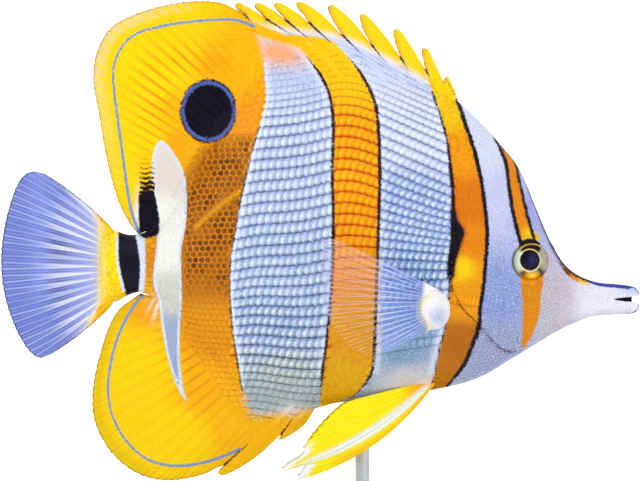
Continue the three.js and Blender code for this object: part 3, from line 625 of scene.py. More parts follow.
def head_ink(dark, at):
    """Gill slit and its black blotch, edges of the eye bar, forehead line and lips."""
    x, z = at.x, at.z
    dark.add(0.6 * gill_black(x, z) + 0.36, 0.95)
    dark.add(0.24 - gill_edge(x, z), 0.3, z < 90)
    off_edge = np.abs(eye_bar_high(x, z) + 0.1)
    thin_top = smoothstep(134, 124, z)
    behind = x < EYE_BAR_MIDDLE(z)
    dark.add(0.58 * thin_top - off_edge, 0.95, (z > 98) & behind)
    dark.add(0.46 * thin_top - off_edge, 0.9, (z > 98) & ~behind)
    brow = np.hypot((x - 59) / 3.1, (z - 99.2 + 0.08 * (x - 59) ** 2) / 1.2)
    dark.add(1.3 * (1 - brow), 1)
    forehead = 0.42 + 0.4 * smoothstep(58, 67, x)
    dark.add(forehead - at.depth, 0.95, (x > 58) & (x < 77) & (z > 86))
    dark.add(0.22 - at.depth, 0.95, x > 85.6)


def rear_ink(dark, at):
    """Black patch with a comb of dashes above it, black band of the tail's root and the eye spot."""
    x, z = at.x, at.z
    dark.add(black_patch(x, z) + 0.15, 1, z < 112.8)
    tooth = 0.95 * smoothstep(124, 110, z) * np.sqrt(np.clip(1 - ((x + 48.7) / 2.7) ** 2, 0, 1))
    tooth = tooth - np.abs((z - 112.6 + 0.2 * np.sin(2 * x)) % 1.4 - 0.7)
    comb = (z > 112.4) & (z < 122) & (x > -51.3) & (x < -46.6)
    dark.add(tooth, 0.2 + 0.7 * smoothstep(119, 113, z), comb)
    dark.add(tail_black(x, z), 1, (z > bottom_line(x) - 0.3) & (z < top_line(x) + 0.3))
    dark.add(at.spot - SPOT["ring"], 1)
    dark.add(0.26 - np.abs(at.spot + 0.2), 0.7)


def dark_marks(at):
    dark = Layers(len(at.x))
    bar_edges(dark, at)
    head_ink(dark, at)
    rear_ink(dark, at)
    # Painted shadow: a dark tapering line behind each spiny lobe, from its notch halfway to its end
    for start, end in SPINE_SHADOW_LINES:
        half_way = np.array(start) + 0.5 * np.subtract(end, start)
        dark.add(inside_taper(at.x, at.z, start, half_way, 0.3), 0.8)
    return dark


def blue_marks(at):
    """Ring of the eye spot, painted shadow lines behind the dorsal spines, lines of the soft fins, pale
    edges, snout.
    """
    x, z = at.x, at.z
    blue = Layers(len(x))
    blue.add(0.8 * SPOT["ring"] - np.abs(at.spot - 0.6 * SPOT["ring"]), 0.8)
    # Painted shadow: a blue tapering line behind each dorsal lobe
    for start, end in SPINE_SHADOW_LINES[:len(DORSAL_SHADOW_ENDS)]:
        blue.add(inside_taper(x, z, start, end, 0.36) - 0.05, 0.86, at.over > -2.4)
    blue.add(0.42 - at.blue_line, 0.45)
    blue.add(0.34 - np.abs(at.wedge - 0.3), 0.1)
    blue.add(0.3 - np.abs(at.rear + 0.55), 0.04, (x > -30) & (z < 150) & (z > 58))
    bridge = (0.85 + 0.25 * smoothstep(76, 80, x)) * smoothstep(89.4, 86.5, x)
    blue.add(bridge - at.depth, 1.0, (x > 75.5) & (z > 85))
    return blue


def warm_area(at):
    """Distance inside the warm colours: bars, rear of the body, tail's band and small marks."""
    x, z, over = at.x, at.z, at.over
    crescent = x + 49.2 + 0.01 * (z - 93.5) ** 2
    behind = np.minimum(at.rear, -at.wedge)
    behind = np.where((z > 85.2) & (z < 101.3), np.minimum(behind, crescent), behind)
    # The silver runs out into the orange below by soft streaks, and softly at its upper end
    soft = behind * (0.16 + 0.84 * smoothstep(54, 63, z))
    soft = soft + 0.14 * np.sin(2.4 * (x - z)) * smoothstep(61, 54, z)
    behind = np.where((x > -26) & (z < 63), soft, behind)
    upper_end = (x > -24) & (z > 147) & (z < 159)
    behind = np.where(upper_end, behind * (0.25 + 0.75 * smoothstep(152, 147, z)), behind)
    arm = np.minimum(-1.3 - 0.25 * (x + 7.4) - over, 0.35 * (over + 3.9 + 0.17 * (x + 7.4)))
    above_eye = np.hypot((x - 59) / 2.9, (z - 100.9 + 0.06 * (x - 58.9) ** 2) / 1.8)
    _, fan, corner = tail_fan(x, z)
    bounded = [
        (arm, (x > -21) & (x < 4)),
        (np.minimum(0.13 * (x + 61.4 + corner), YELLOW_END(z) - x), fan),
        (at.mid, over <= -0.5),
        (at.front, over <= 3),
        (eye_bar_low(x, z), z < 91),
        (0.75 * (1 - ((x - 71.8) / 4.6) ** 2) - np.abs(at.depth - 1.2), z > 85),
    ]
    areas = [np.where(where, inside, OUTSIDE) for inside, where in bounded]
    return np.maximum.reduce(areas + [eye_bar_high(x, z), behind, 1.6 * (1 - above_eye)])


def marks(x, z):
    """Colours and marking distances at places of the side view.

    ground and bars are colours. ink holds distances inside the dark, blue and warm areas, and
    tone how blue the blue is, how black the dark is, and how strong the honeycomb is.
    """
    at = Place(x, z)
    dark, blue = dark_marks(at), blue_marks(at)
    return {
        "ground": ground_tints(at), "bars": bar_tints(at),
        "ink": np.column_stack([dark.inside, blue.inside, warm_area(at)]),
        "tone": np.column_stack([blue.tone, dark.tone, at.honeycomb]),
    }


# Materials made of nodes

class Graph:
    """A material's nodes, made one call at a time."""

    def __init__(self, name):
        self.material = bpy.data.materials.new(name)
        self.material.use_nodes = True
        self.tree = self.material.node_tree
        self.tree.nodes.clear()
        self.shader = self.node("ShaderNodeBsdfPrincipled")
        output = self.node("ShaderNodeOutputMaterial")
        self.tree.links.new(self.shader.outputs["BSDF"], output.inputs["Surface"])

    def node(self, kind, **settings):
        made = self.tree.nodes.new(kind)
        for key, value in settings.items():
            setattr(made, key, value)
        return made

    def plug(self, socket, value):
        if isinstance(value, bpy.types.NodeSocket):
            self.tree.links.new(value, socket)
        elif isinstance(value, (tuple, list, np.ndarray)):
            opaque = [1.0] * (len(socket.default_value) - len(value))
            socket.default_value = [float(v) for v in value] + opaque
        else:
            socket.default_value = value

    def set(self, **values):
        for key, value in values.items():
            self.plug(self.shader.inputs[key.replace("_", " ")], value)

    def attribute(self, name, output="Vector"):
        return self.node("ShaderNodeAttribute", attribute_name=name).outputs[output]

    def split(self, name):
        made = self.node("ShaderNodeSeparateXYZ")
        self.plug(made.inputs[0], self.attribute(name))
        return made.outputs[0], made.outputs[1], made.outputs[2]

    def math(self, operation, a, b=0.0):
        made = self.node("ShaderNodeMath", operation=operation)
        self.plug(made.inputs[0], a)
        self.plug(made.inputs[1], b)
        return made.outputs[0]

    def add(self, a, b):
        return self.math("ADD", a, b)

    def times(self, a, b):
        return self.math("MULTIPLY", a, b)

    def swing(self, value, size):
        """A value from 0 to 1 as one about zero, as far apart as size."""
        return self.times(self.math("SUBTRACT", value, 0.5), size)

    def hump(self, value, centre, width):
        """Soft peak round a centre, one at its top; the centre may be a value of its own."""
        away = self.math("DIVIDE", self.math("SUBTRACT", value, centre), width)
        return self.math("EXPONENT", self.times(self.times(away, away), -1.0))

    def step(self, value, low, high, to_low=0.0, to_high=1.0):
        made = self.node("ShaderNodeMapRange", interpolation_type="SMOOTHSTEP")
        for socket, item in zip(made.inputs[:5], (value, low, high, to_low, to_high)):
            self.plug(socket, item)
        return made.outputs[0]

    def mix(self, share, a, b, blend="MIX"):
        made = self.node("ShaderNodeMix", data_type="RGBA", blend_type=blend)
        for index, value in ((0, share), (6, a), (7, b)):
            self.plug(made.inputs[index], value)
        return made.outputs[2]

    def speckled(self, colour, value, low, high, share, tint):
        """A colour with up to a share of a tint where the value goes from low to high."""
        return self.mix(self.step(value, low, high, 0.0, share), colour, tint)

    def shaded(self, colour, tint):
        return self.mix(1.0, colour, tint, "MULTIPLY")

    def place(self, stretch=(1, 1, 1)):
        made = self.node("ShaderNodeMapping")
        self.plug(made.inputs["Vector"], self.node("ShaderNodeTexCoord").outputs["Object"])
        made.inputs["Scale"].default_value = stretch
        return made.outputs[0]

    def noise(self, scale, detail=3.0, rough=0.55, stretch=(1, 1, 1)):
        made = self.node("ShaderNodeTexNoise")
        self.plug(made.inputs["Vector"], self.place(stretch))
        made.inputs["Scale"].default_value = scale
        made.inputs["Detail"].default_value = detail
        made.inputs["Roughness"].default_value = rough
        return made.outputs[0]

    def cells(self, scale, stretch=(1, 1, 1)):
        made = self.node("ShaderNodeTexVoronoi")
        self.plug(made.inputs["Vector"], self.place(stretch))
        made.inputs["Scale"].default_value = scale
        return made.outputs["Distance"]

    def bump(self, height, strength, distance):
        made = self.node("ShaderNodeBump")
        made.inputs["Strength"].default_value = strength
        made.inputs["Distance"].default_value = distance
        self.plug(made.inputs["Height"], height)
        self.plug(self.shader.inputs["Normal"], made.outputs[0])


INK_BROWN = srgb(66, 22, 12)
INK_BLACK = srgb(10, 3, 24)
BLUE_PALE = srgb(222, 234, 252)
BLUE_STEEL = srgb(112, 148, 190)
BLUE_DEEP = srgb(46, 46, 160)


def fish_colour(graph, silver, warm, ragged, jitter=0.0):
    """The fish's colour from its two grounds and its marking distances, with ragged edges."""
    dark, blue, barred = graph.split("ink")
    depth, black, _ = graph.split("tone")
    shift = graph.add(graph.swing(graph.noise(1900, 4, 0.75), ragged), jitter)
    in_bar = graph.step(graph.add(barred, shift), -0.2, 0.2)
    in_blue = graph.step(graph.add(blue, graph.times(shift, 0.5)), -0.15, 0.15)
    in_dark = graph.step(graph.add(dark, graph.times(shift, 0.9)), -0.22, 0.22)
    blues = graph.mix(graph.step(depth, 0.5, 1.0), BLUE_STEEL, BLUE_DEEP)
    blues = graph.mix(graph.step(depth, 0.0, 0.5), BLUE_PALE, blues)
    colour = graph.mix(in_bar, silver, warm)
    colour = graph.mix(in_blue, colour, blues)
    return graph.mix(in_dark, colour, graph.mix(black, INK_BROWN, INK_BLACK))


def skin_material():
    graph = Graph("fish_skin")
    speck = graph.noise(2600, 4, 0.75)
    silver = graph.speckled(graph.attribute("ground"), speck, 0.54, 0.34, 0.3, srgb(104, 116, 196))
    silver = graph.speckled(silver, speck, 0.52, 0.68, 0.6, srgb(248, 250, 255))
    silver = graph.speckled(silver, graph.noise(1300, 2, 0.5), 0.56, 0.7, 0.2, srgb(214, 186, 210))
    blotch = graph.noise(1100, 3)
    warm = graph.speckled(graph.attribute("bars"), blotch, 0.35, 0.7, 0.32, srgb(176, 84, 4))
    graph.set(Base_Color=fish_colour(graph, silver, warm, 1.6),
              Roughness=graph.step(speck, 0.2, 0.8, 0.32, 0.5),
              Specular_IOR_Level=0.14, Coat_Weight=0.03, Coat_Roughness=0.2)
    pebbles = graph.cells(1300, (1, 0.6, 1))
    graph.bump(graph.add(pebbles, graph.times(speck, 0.6)), 0.5, 0.00014)
    return graph.material


def scale_material(name, sheen):
    """Scales in rows: each has a painted highlight low in its exposed part, painted shade on its upper
    half and painted shade in the groove along its row.
    """
    graph = Graph(name)
    along, across, tone = graph.split("lie")
    relief = graph.attribute("calm", "Fac")
    _, _, honeycomb = graph.split("tone")
    ground, bars = graph.attribute("ground"), graph.attribute("bars")
    fine = graph.noise(2700, 3, 0.65)
    wobble = graph.swing(fine, 0.36)
    u = graph.add(along, graph.swing(graph.noise(2100, 2), 0.16))
    v = graph.add(across, wobble)

    # Painted highlight: a bright spot low in each exposed scale, leaning with the row. Painted shade: the
    # groove between rows and the upper half of each scale
    lean = graph.add(graph.times(v, -0.16), 0.72)
    painted_highlight = graph.times(graph.hump(u, lean, 0.17), graph.hump(v, -0.12, 0.62))
    painted_highlight = graph.times(painted_highlight, graph.times(graph.add(graph.times(tone, 0.35), 0.6), relief))
    groove = graph.math("MAXIMUM", graph.step(v, -0.3, -0.9), graph.step(v, 0.55, 1.05, 0.0, 0.6))
    groove = graph.times(groove, relief)
    upper = graph.times(graph.step(v, 0.0, 0.8), relief)

    silver = graph.mix(graph.times(upper, 0.5), ground, graph.shaded(ground, srgb(168, 186, 236)))
    silver = graph.mix(graph.times(groove, 0.85), silver, graph.shaded(ground, srgb(132, 148, 168)))
    silver = graph.mix(painted_highlight, silver, graph.mix(fine, srgb(226, 246, 240), srgb(244, 244, 255)))
    silver = graph.speckled(silver, fine, 0.54, 0.68, 0.6, srgb(246, 248, 255))
    silver = graph.speckled(silver, fine, 0.44, 0.3, 0.4, graph.shaded(ground, srgb(120, 136, 190)))

    # Warm scales get the same painted groove shade and a yellow painted highlight
    warm = graph.mix(groove, bars, graph.shaded(bars, srgb(222, 122, 60)))
    warm = graph.mix(graph.times(painted_highlight, 0.7), warm, srgb(255, 206, 20))
    warm = graph.speckled(warm, fine, 0.5, 0.32, 0.3, graph.shaded(bars, srgb(230, 150, 80)))
    # Honeycomb: dark middles of the scales within a bright net
    middle = graph.times(graph.hump(u, 0.69, 0.3), graph.hump(v, 0.0, 0.8))
    cell = graph.times(graph.step(graph.add(middle, graph.times(wobble, 0.9)), 0.3, 0.62), honeycomb)
    net = graph.mix(graph.times(honeycomb, 0.6), warm, srgb(240, 146, 8))
    warm = graph.mix(graph.times(cell, graph.add(graph.times(tone, 0.28), 0.68)), net, srgb(52, 18, 8))

    graph.set(Base_Color=fish_colour(graph, silver, warm, 1.76, graph.swing(tone, 0.2)),
              Roughness=graph.step(fine, 0.2, 0.8, 0.3, 0.48), Metallic=sheen,
              Specular_IOR_Level=0.14, Coat_Weight=0.03, Coat_Roughness=0.15)
    rings = graph.math("SINE", graph.times(along, 60.0))
    graph.bump(graph.add(graph.times(rings, 0.15), fine), 0.35, 0.00008)
    return graph.material


def fin_material(name, clear=False):
    """Fins: the last value of their lie says how far the rays show as lines, or how clear it is."""
    graph = Graph(name)
    ray, run, last = graph.split("lie")
    mottle = graph.noise(700, 4, 0.6)
    fine = graph.noise(2400, 3, 0.6)
    line = graph.step(ray, 0.3, 0.8)
    streaked = 0.0 if clear else graph.times(line, last)
    warm = graph.speckled(graph.attribute("bars"), mottle, 0.42, 0.75, 0.25, srgb(255, 226, 20))
    warm = graph.speckled(warm, fine, 0.6, 0.36, 0.22, srgb(236, 156, 8))
    warm = graph.mix(streaked, warm, srgb(232, 138, 6))
    cool = graph.attribute("ground")
    if not clear:
        cool = graph.speckled(cool, fine, 0.54, 0.72, 0.14, srgb(226, 230, 255))
        cool = graph.mix(streaked, cool, srgb(238, 242, 255))
    graph.set(Base_Color=fish_colour(graph, cool, warm, 1.76),
              Roughness=graph.step(mottle, 0.2, 0.8, 0.34, 0.5),
              Specular_IOR_Level=0.1, Coat_Weight=0.02, Coat_Roughness=0.18)
    if clear:
        graph.set(Alpha=last)
    joints = graph.times(graph.math("SINE", graph.times(run, 9.0)), line)
    graph.bump(graph.add(graph.times(joints, 0.3), mottle), 0.4, 0.0001)
    return graph.material


def eye_material():
    graph = Graph("fish_eye")
    paint = graph.attribute("ground")
    plain, _, _ = graph.split("lie")
    fibre = graph.noise(1700, 4, 0.65)
    colour = graph.speckled(paint, fibre, 0.4, 0.7, 0.28, srgb(250, 244, 226))
    colour = graph.speckled(colour, fibre, 0.5, 0.3, 0.16, srgb(96, 92, 80))
    graph.set(Base_Color=graph.mix(plain, colour, paint),
              Roughness=graph.step(fibre, 0.2, 0.8, 0.2, 0.34),
              Specular_IOR_Level=0.12, Coat_Weight=0.06, Coat_Roughness=0.04)
    graph.bump(fibre, 0.2, 0.00006)
    return graph.material


def wood_material():
    graph = Graph("stand_wood")
    wave = graph.node("ShaderNodeTexWave", wave_type="BANDS", bands_direction="Y")
    graph.plug(wave.inputs["Vector"], graph.place((1.2, 1, 1)))
    for name, value in (("Scale", 90), ("Distortion", 3.5), ("Detail", 4), ("Detail Scale", 1.2)):
        wave.inputs[name].default_value = value
    pores = graph.noise(420, 5, 0.7, (1, 9, 9))
    grain = graph.noise(70, 4, 0.6, (1, 9, 9))
    colour = graph.mix(graph.step(wave.outputs[1], 0.1, 0.95), srgb(74, 44, 24), srgb(112, 70, 38))
    colour = graph.speckled(colour, grain, 0.35, 0.7, 0.6, srgb(88, 50, 26))
    colour = graph.speckled(colour, pores, 0.56, 0.7, 0.7, srgb(44, 24, 12))
    graph.set(Base_Color=colour, Roughness=graph.step(pores, 0.3, 0.75, 0.32, 0.55),
              Coat_Weight=0.35, Coat_Roughness=0.22)
    graph.bump(graph.add(pores, graph.times(wave.outputs[1], 0.3)), 0.35, 0.0002)
    return graph.material


def steel_material():
    graph = Graph("stand_steel")
    brushed = graph.noise(900, 4, 0.6, (1, 1, 18))
    blotch = graph.noise(120, 3, 0.5)
    colour = graph.mix(graph.step(brushed, 0.3, 0.7), srgb(176, 179, 184), srgb(208, 210, 214))
    graph.set(Base_Color=colour, Metallic=1.0,
              Roughness=graph.add(graph.step(brushed, 0.2, 0.8, 0.3, 0.42), graph.times(blotch, 0.08)))
    graph.bump(brushed, 0.2, 0.00004)
    return graph.material


def stage_material():
    graph = Graph("stage_pale")
    graph.set(Base_Color=graph.mix(graph.noise(3), (0.86, 0.86, 0.86), (0.9, 0.9, 0.9)), Roughness=0.85,
              Specular_IOR_Level=0.2, Emission_Color=(1, 1, 1), Emission_Strength=0.4)
    return graph.material


# Meshes

def new_piece(name, points, faces, material, fields=None, nodes=()):
    """A smooth-shaded mesh object from arrays of points (mm) and faces of one size."""
    faces = np.asarray(faces)
    mesh = bpy.data.meshes.new(name)
    mesh.vertices.add(len(points))
    mesh.vertices.foreach_set("co", (np.asarray(points) * MM).astype(np.float32).ravel())
    mesh.loops.add(faces.size)
    mesh.loops.foreach_set("vertex_index", faces.astype(np.int32).ravel())
    mesh.polygons.add(len(faces))
    mesh.polygons.foreach_set("loop_start", np.arange(0, faces.size, faces.shape[1], dtype=np.int32))
    mesh.update(calc_edges=True)
    mesh.shade_smooth()
    piece = bpy.data.objects.new(name, mesh)
    bpy.context.collection.objects.link(piece)
    mesh.materials.append(material)
    store(mesh, fields or {})
    if nodes:
        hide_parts(*nodes)
    return piece


def store(mesh, fields):
    for name, values in fields.items():
        values = np.asarray(values, np.float32)
        if values.ndim == 1:
            mesh.attributes.new(name, "FLOAT", "POINT").data.foreach_set("value", values)
        else:
            mesh.attributes.new(name, "FLOAT_VECTOR", "POINT").data.foreach_set("vector", values.ravel())


def outward(points, faces):
    """Triangles turned so that the closed surface looks outwards."""
    a, b, c = (points[faces[:, n]] for n in range(3))
    return faces if np.einsum("ij,ij->i", a, np.cross(b, c)).sum() > 0 else faces[:, ::-1]


def halves(a, b, c, d):
    """Two triangles for each quad of corners a, b, c and d."""
    a, b, c, d = (corner.ravel() for corner in (a, b, c, d))
    return np.vstack([np.column_stack([a, b, c]), np.column_stack([a, c, d])])


def ring_strip(ring, after, around):
    """Triangles between rings of points and the rings after them, from their first points."""
    j = np.arange(around)
    k = (j + 1) % around
    return halves(ring + j, ring + k, after + k, after + j)


def tube(rings):
    """A closed surface over rings of points, its ends closed by fans: its points and triangles."""
    count, around = rings.shape[:2]
    j = np.arange(around)
    k = (j + 1) % around
    ring = np.arange(count - 1)[:, None] * around
    end, centre = (count - 1) * around, np.full(around, count * around)
    faces = np.vstack([
        ring_strip(ring, ring + around, around),
        np.column_stack([k, j, centre]), np.column_stack([end + j, end + k, centre + 1]),
    ])
    points = np.vstack([rings.reshape(-1, 3), rings[0].mean(axis=0), rings[-1].mean(axis=0)])
    return points, outward(points, faces)


def plate(x, y, z, half):
    """A closed sheet over a grid of columns and rows, half thick to each side."""
    columns, rows = x.shape
    middle = np.stack([x, y, z], axis=-1)
    normal = np.cross(np.gradient(middle, axis=0), np.gradient(middle, axis=1))
    normal /= np.linalg.norm(normal, axis=-1, keepdims=True) + 1e-9
    points = np.vstack([(middle + way * normal * half[..., None]).reshape(-1, 3) for way in (1, -1)])
    total = columns * rows
    index = np.arange(total).reshape(columns, rows)
    # Both faces are split along the same lines, so that they can't cross
    front = halves(index[:-1, :-1], index[1:, :-1], index[1:, 1:], index[:-1, 1:])
    rim = np.concatenate([index[:-1, 0], index[-1, :-1], index[:0:-1, -1], index[0, :0:-1]])
    ahead = np.roll(rim, -1)
    walls = halves(ahead, rim, rim + total, ahead + total)
    return points, outward(points, np.vstack([front, front[:, ::-1] + total, walls]))


def new_sheet(name, place, half, material, fields, nodes=()):
    """A closed sheet's piece, with the same markings on both of its faces."""
    points, faces = plate(*place, half)
    doubled = {key: np.concatenate([values, values]) for key, values in fields.items()}
    return new_piece(name, points, faces, material, doubled, nodes)


# Skin

def skin_rings():
    around = 260
    angle = np.arange(around) * 2 * np.pi / around
    up, out = np.sin(angle), np.cos(angle)
    out = np.where(np.abs(out) < 1e-9, 0, out)
    stations = np.concatenate([
        np.linspace(TAIL_ROOT - 4.5, TAIL_ROOT, 10, endpoint=False), np.arange(TAIL_ROOT, -34, 0.4),
        np.arange(-34, 36, 0.9), np.arange(36, 64, 0.36), np.arange(64, SNOUT_TIP - 0.5, 0.28),
        [SNOUT_TIP - 0.4, SNOUT_TIP - 0.2, SNOUT_TIP],
    ])
    rings = []
    for x in stations:
        inner = max(x, TAIL_ROOT)
        closing = math.sqrt(max(0.0, 1 - max(0.0, (TAIL_ROOT - x) / 4.6) ** 2.5))
        tip = 1 - 0.35 * smoothstep(SNOUT_TIP - 0.6, SNOUT_TIP, x)
        level = widest_line(inner)
        reach = np.where(up >= 0, top_line(inner) - level + sheath_above(inner),
                         level - bottom_line(inner) + sheath_below(inner))
        z = level + up * reach
        here = np.full(around, inner)
        half = body_half(here, z) + relief(here, z) * (np.abs(up) < 0.995)
        shrink = 0.55 + 0.45 * closing if x < TAIL_ROOT else 1.0
        y = np.sign(out) * np.maximum(half, 0.02) * closing * tip
        rings.append(np.column_stack([np.full(around, x), y, level + (z - level) * shrink]))
    return np.array(rings)


def mouth_cutter():
    """A wedge that opens the mouth from its corner to the tip."""
    outline = [(MOUTH_CORNER - 0.6, MOUTH_LEVEL)]
    outline += [(x, MOUTH_LEVEL - reach) for x, reach in GAPE]
    outline += [(x, MOUTH_LEVEL + reach) for x, reach in reversed(GAPE)]
    work = bmesh.new()
    corners = [work.verts.new((x * MM, -8 * MM, z * MM)) for x, z in outline]
    face = work.faces.new(corners)
    sides = bmesh.ops.extrude_face_region(work, geom=[face])["geom"]
    far = [item for item in sides if isinstance(item, bmesh.types.BMVert)]
    bmesh.ops.translate(work, verts=far, vec=(0, 16 * MM, 0))
    bmesh.ops.recalc_face_normals(work, faces=work.faces)
    mesh = bpy.data.meshes.new("mouth_cutter")
    work.to_mesh(mesh)
    work.free()
    cutter = bpy.data.objects.new("mouth_cutter", mesh)
    bpy.context.collection.objects.link(cutter)
    return cutter


def make_skin(material):
    points, triangles = tube(skin_rings())
    skin = new_piece("skin", points, triangles, material, nodes=(
        "torso", "head", "snout", "upper_jaw", "lower_jaw", "peduncle", "gill_cover_right",
        "gill_cover_left"))
    cutter = mouth_cutter()
    cut = skin.modifiers.new("mouth", "BOOLEAN")
    cut.operation, cut.solver, cut.object = "DIFFERENCE", "EXACT", cutter
    bpy.context.view_layer.objects.active = skin
    bpy.ops.object.modifier_apply(modifier="mouth")
    bpy.data.objects.remove(cutter)
    mesh = skin.data
    place = np.empty(len(mesh.vertices) * 3, np.float32)
    mesh.vertices.foreach_get("co", place)
    x, y, z = place.reshape(-1, 3).T.astype(float) / MM
    fields = marks(x, z)
    # The walls of the mouth are painted black, for painted shade inside the mouth, apart from the lips
    depth = body_half(x, z) + relief(x, z) - np.abs(y)
    wall = (x > MOUTH_CORNER - 0.7) & (np.abs(z - MOUTH_LEVEL) < 1.4) & (depth > 0.2) & (x < 89.6)
    fields["ink"][wall, 0] = 1.0
    fields["tone"][wall, 1] = 1.0
    store(mesh, fields)
    mesh.shade_smooth()
    return skin


def make_mouth_shadow_sheet(material):
    """A sheet painted black across the gape, well inside the lips, with a hollow front edge: painted
    shade inside the open mouth.
    """
    columns, rows = 24, 12
    height = np.linspace(-1.2, 1.2, rows)[None, :] * np.ones((columns, 1))
    reach = 6.6 - 0.8 * np.sqrt(1 - (height / 1.25) ** 2)
    x = MOUTH_CORNER - 1 + reach * np.linspace(0, 1, columns)[:, None]
    z = MOUTH_LEVEL + height
    fields = marks(x.ravel(), z.ravel())
    # Painted shade: the sheet is black all over
    fields["ink"][:, 0], fields["tone"][:, 1] = 1.0, 1.0
    return new_sheet("mouth_shadow_sheet", (x, np.zeros_like(x), z), np.full(x.shape, 0.5), material,
                     fields)


# Scales

def walk_row(start_x, start_z, slope_at, low, high, step=0.5):
    """Follows a row of scales both ways from a start and returns its points from rear to front."""
    parts = []
    for way, end in ((-1, low), (1, high)):
        x, z, line = start_x, start_z, []
        while way * (end - x) > 0:
            z += way * step * slope_at(x, z)
            x += way * step
            line.append((x, z))
        parts.append(line)
    return np.array(parts[0][::-1] + [(start_x, start_z)] + parts[1])


# Slope of the rows of scales at each height, before and behind, and how it waves along them
front_slope = through([
    (45, 0.3), (65, 0.2), (80, 0.05), (92, -0.03), (99, -0.12), (105, -0.24), (112, -0.36), (120, -0.43),
    (150, -0.45),
])
rear_slope = through([(45, -0.15), (75, -0.02), (95, 0.1), (140, 0.16), (165, 0.2)])
row_wave = through([
    (-60, 0), (-22, 0.12), (-14, -0.07), (-6, 0), (2, 0.12), (10, -0.04), (18, 0), (60, 0),
])


def trunk_slope(x, z):
    share = float(smoothstep(0, 18, x))
    return float(front_slope(z)) * share + (float(rear_slope(z)) + float(row_wave(x))) * (1 - share)


def rear_flow(x, z):
    return 0.012 * (z - 94) * (0.2 if x > -34 else 1.0) if x < -26 else 0.0


def head_flow(x, z):
    return 0.25 if z < 80 else -0.35


def trunk_spacing(x, z):
    return 1.98 - 0.1 * smoothstep(4, 24, x) - 0.45 * smoothstep(137, 145, z)


def scale_sites(rows, spacing_at, stagger, allowed):
    """Places of scales along rows: x, z, direction, breadth of the row and length step."""
    sites = []
    table_x = np.arange(-95, 95, 0.5)
    heights = [np.interp(table_x, row[:, 0], row[:, 1], left=np.nan, right=np.nan) for row in rows]
    for k, row in enumerate(rows):
        length = np.concatenate([[0], np.cumsum(np.hypot(*np.diff(row, axis=0).T))])
        middle = row[len(row) // 2]
        here = (stagger[k % len(stagger)] + random.uniform(-0.12, 0.12)) * spacing_at(*middle)
        places = []
        while here < length[-1]:
            x, z = (float(np.interp(here, length, column)) for column in row.T)
            gap = float(spacing_at(x, z))
            places.append((x, z, gap))
            here += gap * random.uniform(0.95, 1.05)
        x, z, gap = np.array(places).T
        slope = np.interp(x, row[:, 0], np.gradient(row[:, 1], row[:, 0]))
        above = np.interp(x, table_x, heights[min(k + 1, len(rows) - 1)])
        below = np.interp(x, table_x, heights[max(k - 1, 0)])
        steps = 2.0 if 0 < k < len(rows) - 1 else 1.0
        pitch = (above - below) / steps * np.cos(np.arctan(slope))
        keep = allowed(x, z) & (pitch > 0.5)
        sites.append(np.column_stack([x, z, np.arctan(slope), pitch, gap])[keep])
    return np.vstack(sites)


def unrolled_heights():
    """Length of the skin from its widest line to each place, measured over the surface."""
    rise = np.diff(body_half(map_x, map_z), axis=1)
    step = np.hypot(GRID, np.clip(rise, -3, 3))
    total = np.concatenate([np.zeros((len(grid_x), 1)), np.cumsum(step, axis=1)], axis=1)
    index = np.clip(((widest_line(grid_x) - grid_z[0]) / GRID).astype(int), 0, len(grid_z) - 1)
    return sampled(total - total[np.arange(len(grid_x)), index][:, None])


unrolled = unrolled_heights()
# Sizes of the bake map: of a millimetre of skin, and of one scale's patch
UNWRAP = 0.0025
PATCH = 0.003
# How near to the body's outline a scale is drawn in
EDGE_ROOM = 0.8


def kept_inside(x, z):
    """Heights drawn in softly where a scale would stick out over the body's outline."""
    upper = top_line(x) + sheath_above(x)
    lower = bottom_line(x) - sheath_below(x)
    for limit, way in ((upper, 1), (lower, -1)):
        room = way * (limit - z)
        drawn = 0.3 + 0.5 * np.exp(np.minimum(0, room - EDGE_ROOM) / 0.5)
        z = np.where(room < EDGE_ROOM, limit - way * drawn, z)
    return z


def scale_template(rows_u, rows_v):
    """Triangles of one scale: a domed top, a flat underside and the walls between them."""
    top = np.arange(rows_u * rows_v).reshape(rows_u, rows_v)
    bottom = top.size + np.arange(2 * rows_v).reshape(2, rows_v)
    faces = [
        halves(top[:-1, :-1], top[:-1, 1:], top[1:, 1:], top[1:, :-1]),
        halves(bottom[0, :-1], bottom[1, :-1], bottom[1, 1:], bottom[0, 1:]),
        halves(top[-1, :-1], top[-1, 1:], bottom[1, 1:], bottom[1, :-1]),
        halves(top[0, 1:], top[0, :-1], bottom[0, :-1], bottom[0, 1:]),
    ]
    for side, way in ((0, 1), (-1, -1)):
        fan = np.column_stack([np.full(rows_u, bottom[0, side]), top[:, side],
                               np.append(top[1:, side], bottom[1, side])])
        faces.append(fan[:, ::way])
    return np.vstack(faces)


def scale_shapes(sites, form, uu, vv):
    """Places of every scale's top over the side view, how far it stands out, and its relief."""
    x0, z0, turn, pitch, gap = sites.T
    size = random.uniform(0.96, 1.04, len(sites))
    length = (gap * form["overlap"] * size)[:, None]
    breadth = (pitch * form["breadth"] * size)[:, None]
    flare = 0.72 + 0.28 * np.sin(np.clip(uu * 1.5, 0, 1) * np.pi / 2)
    back = (uu - 0.3 * np.abs(vv) ** 2.2 * uu - 0.42) * length + form["lean"] * vv * uu * breadth
    cross = vv * flare * breadth
    cos, sin = np.cos(turn)[:, None], np.sin(turn)[:, None]
    x = x0[:, None] - back * cos - cross * sin
    z = kept_inside(x, z0[:, None] - back * sin + cross * cos)
    calm = form["relief"](x0, z0)
    lift = (form["lift"] * (0.15 + 0.85 * np.minimum(1, calm / form["shade"])))[:, None]
    dome = form["dome"] * np.cos(vv * np.pi / 2) * (0.55 + 0.45 * bump(uu - 0.66, 0.24))
    height = 0.04 + uu * lift + dome * (pitch / 3 * np.maximum(calm, 0.12))[:, None]
    return x, z, height, calm


